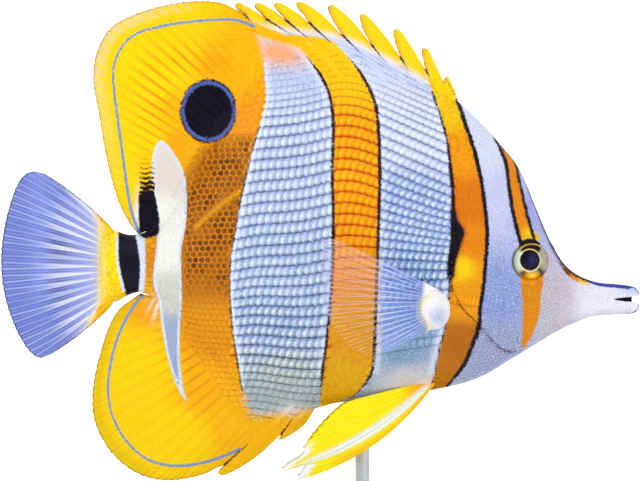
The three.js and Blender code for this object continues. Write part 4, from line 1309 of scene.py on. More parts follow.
def bake_patches(piece, faces, sites, side, u, v):
    """Gives each scale a small patch of the bake map, at its root's place on the unrolled skin."""
    x, z = sites[:, 0], sites[:, 1]
    root_u = 0.01 + (x - grid_x[0]) * UNWRAP + (0.5 if side > 0 else 0)
    root_v = 0.5 + unrolled(x, z) * UNWRAP
    patch_u = root_u[:, None] + (u - 0.5) * PATCH
    patch_v = root_v[:, None] + v * PATCH / 2
    uv = np.stack([patch_u, patch_v], axis=-1).reshape(-1, 2)
    layer = piece.data.uv_layers.new(name="OFBake")
    layer.data.foreach_set("uv", uv[faces.ravel()].astype(np.float32).ravel())


def make_scales(name, sites, side, material, form):
    """One joined mesh of overlapping scales, each a domed plate with its root under its neighbour."""
    rows_u, rows_v = form["grid"]
    across = np.linspace(-1, 1, rows_v)
    uu, vv = (n.ravel() for n in np.meshgrid(np.linspace(0, 1, rows_u), across, indexing="ij"))
    ends = np.concatenate([np.arange(rows_v), np.arange(rows_v) + rows_v * (rows_u - 1)])
    count = len(sites)
    tone = random.uniform(0, 1, count)
    x, z, height, calm = scale_shapes(sites, form, uu, vv)
    skin = surface(x.ravel(), z.ravel()).reshape(x.shape)
    top = np.stack([x, side * (skin + height), z], axis=-1)
    under = top[:, ends].copy()
    under[:, :, 1] = side * (skin[:, ends] - 0.1)
    points = np.concatenate([top, under], axis=1)
    faces = scale_template(rows_u, rows_v)
    if side > 0:
        faces = faces[:, ::-1]
    per = points.shape[1]
    faces = (faces[None] + (np.arange(count) * per)[:, None, None]).reshape(-1, 3)
    flat = points.reshape(-1, 3)
    lie_u, lie_v = np.append(uu, uu[ends]), np.append(vv, vv[ends])
    fields = marks(flat[:, 0], flat[:, 2])
    # calm also sets how strong each scale's painted highlight and painted shade are
    fields["calm"] = np.repeat(calm, per)
    fields["lie"] = np.column_stack([np.tile(lie_u, count), np.tile(lie_v, count), np.repeat(tone, per)])
    piece = new_piece(name, flat, faces, material, fields)
    bake_patches(piece, faces, sites, side, lie_u, lie_v)
    return piece


def relief_of(x, z):
    """How strongly the rows of scales stand out: hardly on the front bar, less at top and belly."""
    quiet = smoothstep(-0.6, 1.2, front_bar(x, z))
    low_bar = smoothstep(-0.5, 1, mid_bar(x, z)) * smoothstep(100, 90, z)
    back = 1 - 0.8 * smoothstep(134, 146, z)
    belly = 0.2 + 0.8 * smoothstep(54, 68, z - 20 * smoothstep(8, 18, x))
    return (1 - 0.92 * quiet) * (1 - 0.85 * low_bar) * back * belly


def small_relief(shade):
    """Relief of the small scales: weak, and stronger over the honeycomb."""
    return lambda x, z: shade * (0.15 + 0.85 * honeycomb_at(x, z))


# Front end of the large scales: the front bar's front edge
HEAD_EDGE = through([
    (50, 30), (56, 34), (60.6, 37.3), (64.9, 40.4), (70.5, 42.8), (74, 43.9), (76.4, 43.6), (80.6, 40.6),
    (85.2, 37), (91, 36.4), (97.6, 38.1), (101, 42.5), (104, 45), (106.4, 46), (115.8, 44.8), (124.8, 43),
    (132.2, 40.6), (139, 38.5), (150, 35),
])


def within(x, z, reach):
    sheath = np.where(z > widest_line(x), sheath_above(x), sheath_below(x))
    return body_outline(x, z) > -np.minimum(sheath * 0.95, reach)


def trunk_allowed(x, z):
    smooth_belly = (z < 66.5 + 0.15 * (x - 14)) & (x > 14.5)
    plain_bar = (front_bar(x, z) > 0.2) | ((mid_bar(x, z) > 0.4) & (z < 90))
    return within(x, z, 9) & (rear(x, z) < 0.3) & (x < HEAD_EDGE(z)) & ~smooth_belly & ~plain_bar


def rear_allowed(x, z):
    sheathed = body_outline(x, z) > -9.5 * smoothstep(-50, -38, x) - 0.4
    off_marks = (wedge(x, z) < -0.6) & (spot_share(x, z) > 1.14)
    return (z < 130) & (rear(x, z) > -0.2) & sheathed & (x > -48.6) & off_marks


def head_allowed(x, z):
    off_snout = x < 67 - 0.12 * (z - 84)
    return (x > HEAD_EDGE(z) + 0.1) & (body_outline(x, z) > 0.9) & (eye_distance(x, z) > 7.4) & off_snout


LARGE_SCALE = {"grid": (7, 7), "overlap": 1.55, "breadth": 0.56, "lean": -0.1, "lift": 0.1,
               "dome": 0.27, "shade": 1, "relief": relief_of}
SMALL_SCALE = {"grid": (5, 5), "overlap": 1.6, "breadth": 0.66, "lean": 0.0, "lift": 0.04,
               "dome": 0.05, "shade": 0.4, "relief": small_relief(0.4)}
TINY_SCALE = {"grid": (4, 5), "overlap": 1.6, "breadth": 0.66, "lean": 0.0, "lift": 0.015,
              "dome": 0.03, "shade": 0.5, "relief": small_relief(0.5)}


def make_coat():
    trunk = scale_material("trunk_scales", 0.12)
    fine = scale_material("fine_scales", 0.06)
    starts, z = [], 40.0
    while z < 166:
        starts.append(z)
        z += 3.1 - 1.15 * float(smoothstep(131, 143, z)) - 0.9 * float(smoothstep(66, 56, z))
    trunk_rows = [walk_row(4.0, z, trunk_slope, -34, 54) for z in starts]
    rear_rows = [walk_row(-30.0, z, rear_flow, -62, -2) for z in np.arange(36, 168, 1.62)]
    head_rows = [walk_row(50.0, z, head_flow, 36, 72) for z in np.arange(52, 146, 0.98)]
    kinds = (
        ("trunk", trunk_rows, trunk_spacing, (0.0, 0.35, 0.7), trunk_allowed, trunk, LARGE_SCALE),
        ("rear", rear_rows, lambda x, z: 1.74, (0.0, 0.5), rear_allowed, fine, SMALL_SCALE),
        ("head", head_rows, lambda x, z: 1.02, (0.0, 0.5), head_allowed, fine, TINY_SCALE),
    )
    made = []
    for name, side in SIDES.items():
        for kind, rows, spacing_at, stagger, allowed, material, form in kinds:
            sites = scale_sites(rows, spacing_at, stagger, allowed)
            made.append(make_scales(f"scales_{kind}_{name}", sites, side, material, form))
    return made


# Fins

def bowed(start, end, share, bow):
    """Points of bowed lines from start to end, in the side plane; arrays are (columns, rows, 2)."""
    along = end - start
    across = np.stack([-along[..., 1], along[..., 0]], axis=-1)
    across = across / np.linalg.norm(across, axis=-1, keepdims=True)
    return start + along * share[..., None] + across * (4 * bow * share * (1 - share))[..., None]


def ray_profile(phase, share, split_from, split, width):
    """Height of the ray ridges, 0 on the membrane and 1 on a crest; rays split towards the edge."""
    spread = split * smoothstep(split_from, 1.0, share)
    sharp = width * (1 - 0.45 * smoothstep(split_from, 1, share))
    near = np.minimum(np.abs(phase - 0.5 - spread), np.abs(phase - 0.5 + spread))
    return bump(near, sharp)


def fin_grid(root, margin, form):
    """Shares along and across a fin of rays, its ray ridges and the ends of its columns."""
    columns = form["rays"] * form["per_ray"] + 1
    start = smooth_curve(root, columns)[:, None, :]
    end = smooth_curve(margin, columns)[:, None, :]
    t = np.linspace(0, 1, columns)[:, None] * np.ones((1, form["rows"]))
    share = (np.linspace(0, 1, form["rows"])[None, :] ** form["power"]) * np.ones((columns, 1))
    ridge = ray_profile((t * form["rays"]) % 1.0, share, form["split_from"], form["split"], form["width"])
    low, high = ((form[key][0] + (form[key][1] - form[key][0]) * share) for key in ("membrane", "crest"))
    half = (low + (high - low) * ridge) * (1 - 0.45 * smoothstep(0.96, 1, share))
    return start, end, t, share, ridge, half


def lie_of(*values):
    """The lie of a sheet's points: ray ridge, run along the ray, and streaks or clearness."""
    return np.column_stack([value.ravel() for value in values])


def soft_fin(name, node, material, root, margin, form):
    """A fin of soft rays in the mid-plane, rippled and serrated a little at its edge."""
    start, end, t, share, ridge, half = fin_grid(root, margin, form)
    way = (end - start) / np.linalg.norm(end - start, axis=-1, keepdims=True)
    start = start - way * form["sink"]
    reach = share * (1 + 0.006 * (ridge - 0.6) * smoothstep(0.8, 1, share))
    place = bowed(start, end, reach, form["bow"](t))
    x, z = place[..., 0], place[..., 1]
    ripple = 0.18 * np.sin(t * form["rays"] * 0.9 + 1) * smoothstep(0.4, 1, share)
    fields = marks(x.ravel(), z.ravel())
    streak = form["streaks"](x, z, t, share) * smoothstep(0.2, -0.8, wedge(x, z))
    length = np.linalg.norm(end - start, axis=-1)
    run = share * length
    drawn, front = ridge, 1.0
    if "fine" in form:
        fields["ground"] = painted(fields["ground"], [(TAIL_SLATE, slate_patches(x, t, ridge).ravel())])
        drawn = np.maximum(ridge, form["fine"] * bump(np.sin(t * form["rays"] * 4 * np.pi), 0.4))
        front = t
    # A thin dark outline along the fin's free edges
    edge = np.minimum(length - run, np.where(run > 2, np.minimum(front, 1 - t) * length * 1.2, 9))
    fields["ink"][:, 0] = np.maximum(fields["ink"][:, 0], (form["outline"] - edge).ravel())
    fields["lie"] = lie_of(drawn, run, streak)
    # Outside the blue line the upper rays of the dorsal fin are greyish white
    upper = smoothstep(134, 150, z) * smoothstep(-32, -44, x)
    pale = 0.7 * ridge * smoothstep(3.6, 2, rear_border(x, z)) * upper
    fields["bars"] = painted(fields["bars"], [((224, 222, 216), pale.ravel())])
    return new_sheet(name, (x, ripple, z), half, material, fields, [node])


def lobe_edges(start, lobe):
    """Front edge of a spine's lobe up to its blunt tip, and its hind edge down to the notch."""
    names = ("tip", "rear", "notch", "front")
    tip, rear_point, notch, front = (np.array(lobe[key], float) for key in names)
    axis = tip - (front + rear_point) / 2
    axis /= np.linalg.norm(axis)
    across = np.array([-axis[1], axis[0]]) * (1 if axis[1] > 0 else -1)
    ahead, behind = tip - axis * 0.6 - across * 0.95, tip - axis * 0.7 + across * 0.8
    if np.linalg.norm(tip - rear_point) < 1.5:
        ahead, behind = tip - axis * 0.5 - across * 0.4, tip - axis * 0.5 + across * 0.3
    edge = smooth_curve([start, front, ahead, tip, behind, rear_point, notch], 220)
    peak = np.argmin(np.linalg.norm(edge - tip, axis=1))
    return edge[:peak + 1], edge[peak:]


def spiny_columns(start, lobes, end):
    """Roots and tips of a spiny fin's columns, their places on a spine, and the lobes' hind edges."""
    rising_count, falling_count = 20, 12
    per_lobe = rising_count + falling_count
    stops = [0, rising_count * 0.6, rising_count, per_lobe]
    tips, roots, spine, hind = [], [], [], []
    before = start
    for lobe, after in zip(lobes, [*lobes[1:], {"root": end}]):
        rising, falling = lobe_edges(before, lobe)
        hind.append(falling)
        for edge, count in ((rising, rising_count), (falling, falling_count)):
            tips.append(edge[np.linspace(0, len(edge) - 1, count, endpoint=False).astype(int)])
        share = np.interp(np.arange(per_lobe), stops, [0, 0.26, 0.48, 1])
        roots.append(lobe["root"] + np.subtract(after["root"], lobe["root"]) * share[:, None])
        spine.append(bump(share - 0.38, 0.24))
        before = lobe["notch"]
    return np.vstack(roots + [end]), np.vstack(tips + [before]), np.concatenate(spine + [[0.0]]), hind


def spiny_fin(name, node, material, start, lobes, end, rows=44, sink=3.5):
    """Blunt lobes like fingers, each with its spine as a rounded ridge near its front edge."""
    roots, tips, spine, hind = spiny_columns(start, lobes, end)
    share = np.linspace(0, 1, rows)[None, :] * np.ones((len(tips), 1))
    spine = spine[:, None] * np.ones_like(share)
    way = (tips - roots) / np.linalg.norm(tips - roots, axis=1, keepdims=True)
    sunk = (roots - way * sink)[:, None, :]
    place = sunk + (tips[:, None, :] - sunk) * share[..., None]
    x, z = place[..., 0], place[..., 1]
    half = 0.24 + (0.66 - 0.45 * share) * spine * (1 - smoothstep(0.9, 1, share) * 0.4)
    half = half * (1 - 0.35 * smoothstep(0.97, 1, share))
    fields = marks(x.ravel(), z.ravel())
    # Painted shade along each lobe's hind edge: orange beside it and a thin dark line on it
    behind = np.min([to_line(x.ravel(), z.ravel(), line[::4]) for line in hind], axis=0)
    fields["ground"] = painted(fields["ground"], [((238, 158, 8), 0.65 * bump(behind, 0.9))])
    fields["ink"][:, 0] = np.maximum(fields["ink"][:, 0], 0.1 - behind)
    run = np.linalg.norm(place - sunk, axis=-1)
    fields["lie"] = lie_of(spine, run, np.zeros_like(x))
    return new_sheet(name, (x, np.zeros_like(x), z), half, material, fields, [node])


def paired_fin(name, node, material, side, root, margin, form):
    """A fin of rays that stands off the body's side."""
    start, end, t, share, ridge, half = fin_grid(root, margin, form)
    reach = share * (1 + form["serrate"] * (ridge - 0.6) * smoothstep(0.8, 1, share))
    place = bowed(start, end, reach, form["bow"](t))
    x, z = place[..., 0], place[..., 1]
    run = np.linalg.norm(place - start, axis=-1)
    away = form["rise"] * (1 - np.exp(-run / 1.6)) + form["slope"] * run
    y = side * (form["start_y"](start[..., 0], start[..., 1]) + away)
    colour, last, dark = form["paint"](x, t, share, ridge, run)
    fields = {
        "ground": colour.reshape(-1, 3), "bars": colour.reshape(-1, 3),
        "ink": np.column_stack([dark.ravel(), np.full((x.size, 2), OUTSIDE)]),
        "tone": np.zeros((x.size, 3)) + (0, 0.4, 0),
        "lie": lie_of(ridge, run, last),
    }
    return new_sheet(name, (x, y, z), half, material, fields, [node])


def pectoral_base(name, side, material):
    """The fleshy root of a pectoral fin: a low half dome between the gill slit and the rays."""
    middle_x, middle_z = PECTORAL_BASE["x"], PECTORAL_BASE["z"]
    half_x, half_z = PECTORAL_BASE["half_x"], PECTORAL_BASE["half_z"]
    around = 72
    turns = np.arange(around) * 2 * np.pi / around
    share = np.append(np.sin(np.linspace(0.06, np.pi / 2, 22)), 0.9)[:, None]
    x = np.minimum(middle_x + half_x * share * np.cos(turns), 36.4 + 0.2 * np.sin(turns))
    z = middle_z + half_z * share * np.sin(turns)
    rise = np.sqrt(np.clip(1 - share**4, 0, 1)) * (1.2 + 2.1 * smoothstep(36.4, 31.5, x)) - 0.1
    rise[-1] = -1.4
    points, faces = tube(np.stack([x, side * (body_half(x, z) + rise), z], axis=-1))
    x, z = points[:, 0], points[:, 2]
    share = np.hypot((x - middle_x) / half_x, (z - middle_z) / half_z)
    colour = painted(wash((252, 250, 246), x.shape), [
        # Painted shade: grey-blue on the lower part of the dome
        ((176, 186, 226), 0.9 * bump(np.hypot(x - 32.8, z - 78.4), 2.8)),
        ((252, 240, 168), bump(share - 0.82, 0.24) * smoothstep(32.4, 29, x)),
    ])
    fields = {"ground": colour, "bars": colour, "ink": np.full((len(x), 3), OUTSIDE),
              "tone": np.zeros((len(x), 3))}
    return new_piece(name, points, faces, material, fields)


def paint_pectoral(x, t, share, ridge, run):
    """Clear blue membrane and white rays, with a white fleshy base rimmed in pale yellow."""
    over_bar = smoothstep(17.4, 16, x) * smoothstep(2.5, 3.6, x)
    membrane = painted(wash((140, 168, 252), x.shape), [((240, 190, 170), over_bar)])
    rays = painted(wash((240, 243, 255), x.shape), [((252, 228, 216), over_bar)])
    flesh = painted(wash((250, 248, 246), x.shape), [
        # Painted shade: lavender grey on the lower part of the fleshy base
        ((196, 202, 234), bump(t - 0.75, 0.3) * bump(run - 2.2, 2)),
        ((250, 240, 176), bump(run - 5.4, 0.9) * smoothstep(0.3, 0.5, t)),
    ])
    base = smoothstep(6.8, 4.6, run)
    colour = mixed(mixed(membrane, rays, ridge), flesh, base)
    upper = smoothstep(0.6, 0.1, t)
    film = (0.28 - (0.28 - 0.1 * upper) * over_bar) * (0.35 + 0.65 * smoothstep(1, 4, x))
    drawn = (1 - 0.35 * smoothstep(0.25, 1, share)) * (1 - 0.35 * over_bar)
    alpha = film + (0.76 - film) * ridge**2.4 * drawn
    return colour, np.clip(np.maximum(alpha, base), 0, 0.98), np.full(x.shape, OUTSIDE)


def paint_pelvic(x, t, share, ridge, run):
    """Lemon, with an orange leading band, a pale stripe behind it and white threads at the tip."""
    stripe = smoothstep(0.14, 0.21, t) * smoothstep(0.64, 0.48, t + 0.24 * share)
    stripe = stripe * smoothstep(0.0, 0.08, share) * smoothstep(0.98, 0.8, share)
    pale = painted(wash((246, 250, 226), x.shape), [((216, 214, 240), 0.6 * ridge)])
    colour = painted(wash((254, 236, 0), x.shape), [((254, 196, 2), smoothstep(0.35, 0.08, share))])
    colour = painted(mixed(colour, pale, stripe), [
        ((253, 204, 4), smoothstep(0.15, 0.08, t) * smoothstep(0.86, 0.7, share)),
        ((250, 250, 250), smoothstep(0.92, 0.97, share) * smoothstep(0.6, 0.5, t)),
    ])
    tip_outline = 0.16 - (1 - share) * 22 - 0.5 * ridge - 9.0 * (t < 0.6)
    return colour, np.zeros(x.shape), tip_outline


def dorsal_streaks(x, z, t, share):
    """Rays show outside the blue line and beside the spot, and hardly anywhere else."""
    outside = smoothstep(3.8, 2.2, rear_border(x, z))
    beside = np.maximum(bump(x + 46, 6) * bump(z - 139, 15), bump(x + 37, 9) * bump(z - 150.5, 5))
    return 0.08 + 0.1 * outside + 0.75 * beside


def anal_streaks(x, z, t, share):
    outside = smoothstep(3.8, 2.2, rear_border(x, z))
    rooted = smoothstep(0.55, 0.2, share) * smoothstep(-24, -38, x)
    return 0.12 + 0.12 * outside + 0.85 * rooted


def tail_streaks(x, z, t, share):
    """White branching rays, strong near the root."""
    varied = 0.75 + 0.25 * np.sin(37 * t + 1.3 * np.sin(17 * t))
    return varied * (0.3 + 0.7 * smoothstep(0.75, 0.3, share)) * smoothstep(0.1, 0.24, share)


def slate_patches(x, t, ridge):
    """Slate between the rays of the tail, in its middle and further out."""
    middle = bump(x + 74, 3.6) * bump(t - 0.45, 0.4)
    return 0.95 * middle * (1 - ridge) ** 1.5 * (0.7 + 0.3 * np.sin(21 * t))


DORSAL_ROOT = [
    (-4.8, 143.6), (-17, 139.2), (-25, 132.6), (-31.5, 124), (-38, 113.4), (-43.4, 105.6), (-47.4, 102.1),
]
ANAL_ROOT = [
    (-9.6, 53.8), (-18.6, 55.2), (-24.6, 60.2), (-30.6, 68), (-37, 76.9), (-43, 82.6), (-47, 84.8),
]
TAIL_RAY_ROOT = [(TAIL_ROOT + 0.2, 101.8), (TAIL_ROOT + 0.2, 92.4), (TAIL_ROOT + 0.2, 83.1)]
TAIL_MARGIN = [
    (-78.1, 118.8), (-81.8, 119.3), (-84.6, 117.4), (-88.5, 107.4), (-SNOUT_TIP, 95), (-89.2, 84),
    (-85.6, 73.7), (-82.2, 68.4), (-79.4, 66.6), (-76.1, 67.7),
]
PECTORAL_ROOT = [(33.8, 85.6), (34.4, 81.6), (34, 77.2)]
PECTORAL_MARGIN = [
    (3.6, 100.4), (1, 99.4), (0.5, 93.5), (0.9, 86), (2.2, 78.8), (6, 72.6), (10.2, 69.2), (15.4, 67.9),
    (20.4, 69.4), (27.6, 74.4),
]
PELVIC_ROOT = [(33.2, 60.6), (31.4, 60.4), (29.4, 60)]
PELVIC_MARGIN = [
    (-7, 32.2), (-5.4, 34.6), (-4.2, 36.3), (-7.5, 35.9), (-11.6, 34.7), (-8.6, 37.2), (-5.4, 39.2),
    (-4.6, 41.4), (-2.2, 45), (2.8, 50.6), (6.4, 53.6), (9.4, 55),
]

# Shapes of the fins. membrane and crest are half thicknesses at the root and at the edge.
MEDIAN_FORM = {
    "per_ray": 10, "rows": 64, "sink": 3.5, "power": 1.15, "split_from": 0.45, "split": 0.2,
    "width": 0.17, "membrane": (0.42, 0.15), "crest": (0.54, 0.24), "outline": 0.1,
}
DORSAL_FORM = {
    **MEDIAN_FORM, "rays": 30, "bow": lambda t: -0.7 * np.minimum(1, 4 * t), "streaks": dorsal_streaks,
}
ANAL_FORM = {
    **MEDIAN_FORM, "rays": 20, "per_ray": 12, "bow": lambda t: 0.7 * np.minimum(1, 4 * t),
    "streaks": anal_streaks,
}
TAIL_FORM = {
    "rays": 17, "per_ray": 16, "rows": 90, "sink": 0, "power": 1.15, "split_from": 0.12, "split": 0.25,
    "width": 0.15, "membrane": (0.5, 0.14), "crest": (1.0, 0.26), "outline": 0.28, "fine": 0.75,
    "bow": lambda t: 2 * t - 1, "streaks": tail_streaks,
}
PECTORAL_FORM = {
    "rays": 21, "per_ray": 12, "rows": 60, "power": 1.5, "split_from": 0.25, "split": 0.24,
    "width": 0.095, "membrane": (0.3, 0.08), "crest": (0.55, 0.15), "serrate": 0.014,
    "rise": 2.8, "slope": 0.19, "bow": lambda t: t - 0.4, "paint": paint_pectoral,
    "start_y": lambda x, z: body_half(x, z) - 1.4,
}
PELVIC_FORM = {
    "rays": 9, "per_ray": 18, "rows": 64, "power": 1.2, "split_from": 0.2, "split": 0.22,
    "width": 0.16, "membrane": (0.32, 0.12), "crest": (0.6, 0.2), "serrate": 0.012,
    "rise": 0.6, "slope": 0.095, "bow": lambda t: 4.6 - 4.6 * t, "paint": paint_pelvic,
    "start_y": lambda x, z: np.full_like(x, 2.6),
}


def make_fins(skin):
    yellow, blue = fin_material("yellow_fins"), fin_material("tail_membrane")
    clear = fin_material("clear_fins", clear=True)
    made = [
        spiny_fin("dorsal_spines", "dorsal_fin_spiny", yellow, (39.2, 139.8), DORSAL_LOBES,
                  (-6.2, 143.2)),
        soft_fin("dorsal_soft", "dorsal_fin_soft", yellow, DORSAL_ROOT,
                 SOFT_DORSAL_MARGIN, DORSAL_FORM),
        spiny_fin("anal_spines", "anal_fin_spiny", yellow, (-1.1, 52.7), ANAL_LOBES, (-10.3, 53.9)),
        soft_fin("anal_soft", "anal_fin_soft", yellow, ANAL_ROOT, SOFT_ANAL_MARGIN,
                 ANAL_FORM),
        soft_fin("tail", "tail_fin", blue, TAIL_RAY_ROOT, TAIL_MARGIN, TAIL_FORM),
    ]
    for name, side in SIDES.items():
        made += [
            paired_fin(f"pectoral_{name}", f"pectoral_fin_{name}", clear, side,
                       PECTORAL_ROOT, PECTORAL_MARGIN, PECTORAL_FORM),
            pectoral_base(f"pectoral_base_{name}", side, skin),
            paired_fin(f"pelvic_{name}", f"pelvic_fin_{name}", yellow, side,
                       PELVIC_ROOT, PELVIC_MARGIN, PELVIC_FORM),
        ]
    return made


# Eyes

def eye_axes(side):
    yaw = EYE["yaw"]
    centre = np.array([EYE["x"], side * EYE["y"], EYE["z"]])
    forward = np.array([math.cos(yaw), -side * math.sin(yaw), 0])
    out = np.array([math.sin(yaw), side * math.cos(yaw), 0])
    return centre, forward, out


def iris_colour(a, b):
    """Colours of the eye's face, and where they stay plain, without the iris's pale fibres.

    It is pale to the rear and grey in front, with dark and gold above and below.
    """
    radius = np.hypot(a, b)
    angle = np.degrees(np.arctan2(b, a))
    pupil = np.hypot(a - PUPIL["a"], b - PUPIL["b"])
    below = smoothstep(-138, -122, angle) * smoothstep(-42, -58, angle)
    above = smoothstep(48, 60, angle) * smoothstep(146, 134, angle)
    corner = np.clip(bump(angle + 50, 13) + bump(angle + 130, 13), 0, 1)
    colour = painted(wash((158, 156, 140), a.shape), [
        ((206, 214, 196), smoothstep(-0.3, -1.6, a)),
        ((168, 200, 214), 0.7 * smoothstep(-3.6, -4.6, a)),
        ((214, 220, 130), 0.6 * bump(radius - 4.95, 0.3) * smoothstep(-2, -4, a)),
        ((232, 126, 24), 0.85 * bump(angle, 34) * smoothstep(4.3, 4.9, radius)),
        ((232, 160, 16), below * smoothstep(3.15, 3.4, radius)),
        ((252, 220, 30), below * bump(a, 1.1) * smoothstep(-3.2, -4.2, b)),
        ((26, 14, 16), above * smoothstep(4.9, 4.5, radius)),
        ((240, 196, 30), above * smoothstep(4.5, 4.9, radius)),
        ((26, 16, 20), 0.92 * corner * smoothstep(3.1, 3.6, pupil)),
        ((255, 222, 126), bump(pupil - 3.1, 0.15)),
        ((246, 206, 96), 0.9 * bump(radius - 5.02, 0.13) * smoothstep(1.0, -2.0, b)),
    ])
    # The pupil is near black, with a painted highlight: a soft lighter blue patch a little above and
    # ahead of its middle
    lens = painted(wash((9, 7, 32), a.shape), [((34, 32, 92), bump(np.hypot(a + 0.2, b - 0.4), 1.2))])
    inside = smoothstep(2.95, 2.8, pupil)
    plain = np.maximum.reduce([inside, above * smoothstep(4.9, 4.5, radius), below, 0.9 * corner])
    return mixed(colour, lens, inside), plain


def make_eye(name, node, side, material):
    centre, forward, out = eye_axes(side)
    rings, around = 56, 112
    share = np.sin(np.linspace(0, np.pi / 2, rings))
    radius = np.concatenate([share * EYE["radius"], [EYE["radius"] * 0.96, EYE["radius"] * 0.6]])
    height = EYE["depth"] * (1 - np.minimum(share, 0.9995) ** 3.6) ** (1 / 3.6)
    height = np.concatenate([height, [-1.4, -2.8]])
    angle = np.arange(around) * 2 * np.pi / around
    a, b = (radius[:, None] * turn(angle) for turn in (np.cos, np.sin))
    lens = np.hypot(a - PUPIL["a"], b - PUPIL["b"])
    dome = 0.28 * np.sqrt(np.clip(1 - (lens / PUPIL["radius"]) ** 2, 0, 1))
    h = height[:, None] + dome * (height > 0)[:, None]
    points = centre + a[..., None] * forward + b[..., None] * np.array([0, 0, 1.0]) + h[..., None] * out
    flat, triangles = tube(points[1:])
    colour, plain = iris_colour(np.append(a[1:], [0, 0]), np.append(b[1:], [0, 0]))
    fields = {"ground": colour, "lie": np.column_stack([plain] * 3)}
    return new_piece(name, flat, triangles, material, fields, [node])


def make_orbit(name, side, material):
    """The rim of skin round the eye, from the eyeball out to the cheek, closed underneath."""
    around = 144
    radius = np.concatenate([np.linspace(5.0, 6.4, 13), np.linspace(6.6, 8.2, 9)])
    lip = 0.32 * bump(radius - 5.7, 0.45) - 0.9 * smoothstep(5.5, 5.0, radius)
    lip = lip - 0.12 * smoothstep(7.6, 8.2, radius)
    radius, lip = np.append(radius, [8.0, 6.6, 5.2]), np.append(lip, [-0.6, -1.4, -2.4])
    angle = np.arange(around) * 2 * np.pi / around
    x = EYE["x"] + radius[:, None] * np.cos(angle)
    z = EYE["z"] + radius[:, None] * np.sin(angle)
    flat = np.stack([x, side * (body_half(x, z) + lip[:, None]), z], axis=-1).reshape(-1, 3)
    ring = np.arange(len(radius))[:, None] * around
    faces = outward(flat - (EYE["x"], 0, EYE["z"]), ring_strip(ring, np.roll(ring, -1, axis=0), around))
    return new_piece(name, flat, faces, material, marks(flat[:, 0], flat[:, 2]))


# Stand

def rounded_ring(inset, height, steps=16):
    """Outline of the base at one height, drawn in by an inset, with round corners."""
    a, b, r = BASE["length"] / 2 - inset, BASE["width"] / 2 - inset, BASE["corner"] - inset
    ring = []
    corners = ((a - r, r - b, -90), (a - r, b - r, 0), (r - a, b - r, 90), (r - a, r - b, 180))
    for cx, cy, start in corners:
        for step in range(steps + 1):
            angle = math.radians(start + 90 * step / steps)
            ring.append((BASE["x"] + cx + r * math.cos(angle), cy + r * math.sin(angle), height))
    return ring


def make_base(wood):
    """A wooden base with a groove round its side and a rounded upper edge."""
    edge = 1.8
    top = BASE["height"] - edge
    levels = [(0.9, 0), (0.25, 0.25), (0, 0.8), (0, 5.6), (0.35, 6.0), (0.35, 6.5), (0, 6.9), (0, top)]
    for turn in np.linspace(0.25, math.pi / 2, 6):
        levels.append((edge * (1 - math.cos(turn)), top + edge * math.sin(turn)))
    points, faces = tube(np.array([rounded_ring(*level) for level in levels]))
    return new_piece("stand_base_wood", points, faces, wood, nodes=["stand_base"])


def make_rod(steel):
    """A turned steel rod with a foot on the base and a cup under the belly."""
    around = 72
    radius, cup, top = ROD["radius"], ROD["cup_start"], ROD["top"]
    foot = BASE["height"] + 0.02
    foot_profile = [
        (0.4, 0), (8.4, 0), (8.8, 0.15), (9, 0.5), (9, 1.7), (8.8, 2.2), (8.3, 2.6), (7.9, 2.75),
        (4.4, 3.0), (3.2, 3.4), (2.6, 4.1), (2.15, 5.2), (radius, 6.6),
    ]
    cup_profile = [(radius, -2.8), (2.1, -2), (2.5, -1), (3.1, -0.2), (3.5, 0.5), (3.6, 1.1)]
    profile = [(r, foot + z) for r, z in foot_profile]
    profile += [(radius, 20), (radius, 30), (radius, 40)]
    profile += [(r, cup + z) for r, z in cup_profile]
    profile += [(3.6, top - 1.5), (3.4, top - 0.6)]
    angle = np.arange(around) * 2 * np.pi / around
    rings = np.array([
        np.column_stack([ROD["x"] + r * np.cos(angle), r * np.sin(angle), np.full(around, z)])
        for r, z in profile])
    # The cup's rim stops just inside the belly
    rings[..., 2] = np.minimum(rings[..., 2], float(bottom_line(ROD["x"])) + 0.9)
    points, faces = tube(rings)
    return new_piece("stand_rod_steel", points, faces, steel, nodes=["stand_rod"])


# Stage, lights and camera

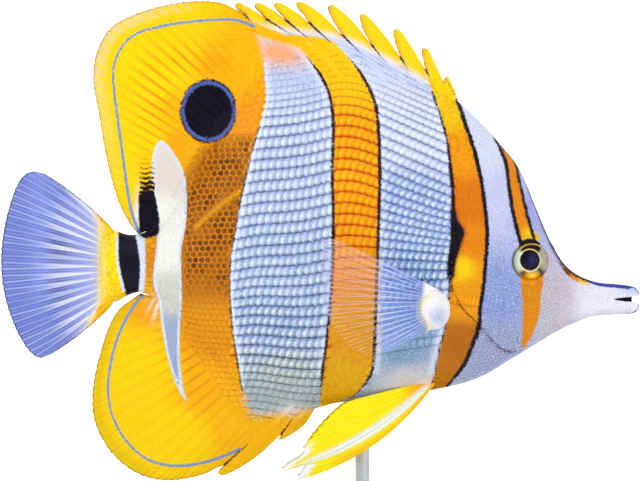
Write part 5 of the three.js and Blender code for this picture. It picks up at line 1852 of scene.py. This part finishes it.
def make_stage():
    """A pale floor that curves up into a wall behind the object."""
    front, bend, curve, height = -2.6, 1.7, 0.5, 3.0
    profile = [(front, 0.0), (bend, 0.0)]
    for turn in np.linspace(0.1, math.pi / 2, 16):
        profile.append((bend + curve * math.sin(turn), curve * (1 - math.cos(turn))))
    profile.append((bend + curve, height))
    points = [(x / MM, y / MM, z / MM) for y, z in profile for x in (-3, 3)]
    faces = [(2 * i, 2 * i + 1, 2 * i + 3, 2 * i + 2) for i in range(len(profile) - 1)]
    new_piece("stage", points, faces, stage_material())


def add_light(name, place, aim, size, power):
    data = bpy.data.lights.new(name, "AREA")
    data.shape = "RECTANGLE"
    data.size, data.size_y = size
    data.energy = power
    light = bpy.data.objects.new(name, data)
    light.location = place
    light.rotation_euler = (Vector(aim) - Vector(place)).to_track_quat("-Z", "Y").to_euler()
    bpy.context.collection.objects.link(light)


def make_lights():
    centre = (0, 0, 0.1)
    add_light("key", (-0.5, -0.95, 0.75), centre, (0.7, 0.7), 4.6)
    add_light("fill", (0.85, -0.85, 0.35), centre, (0.8, 0.8), 2.2)
    add_light("top", (0, -0.1, 1.0), centre, (1.0, 0.7), 3.6)
    add_light("back_wall", (0, 1.0, 1.9), (0, 2.2, 0.4), (2.4, 0.6), 30)
    world = bpy.data.worlds.new("studio")
    world.use_nodes = True
    world.node_tree.nodes["Background"].inputs["Color"].default_value = (0.93, 0.96, 1.0, 1)
    world.node_tree.nodes["Background"].inputs["Strength"].default_value = 0.34
    bpy.context.scene.world = world
    bpy.context.scene.view_settings.view_transform = "Standard"


def make_camera():
    data = bpy.data.cameras.new("camera")
    data.type = "PERSP"
    data.lens, data.sensor_width = LENS, SENSOR
    camera = bpy.data.objects.new("camera", data)
    distance = LENS / SENSOR * IMAGE_WIDTH * PIXEL * MM
    camera.location = (0, -distance, CAMERA_HEIGHT * MM)
    camera.rotation_euler = (math.pi / 2, 0, 0)
    bpy.context.collection.objects.link(camera)
    bpy.context.scene.camera = camera


make_camera()
make_stage()
make_lights()
skin_look, eye_look = skin_material(), eye_material()
pieces = [make_skin(skin_look), make_mouth_shadow_sheet(skin_look)]
pieces += make_coat()
pieces += make_fins(skin_look)
for suffix, side in SIDES.items():
    pieces.append(make_eye(f"eyeball_{suffix}", f"eye_{suffix}", side, eye_look))
    pieces.append(make_orbit(f"orbit_{suffix}", side, skin_look))
pieces += [make_base(wood_material()), make_rod(steel_material())]
for piece in pieces:
    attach(piece, "root")
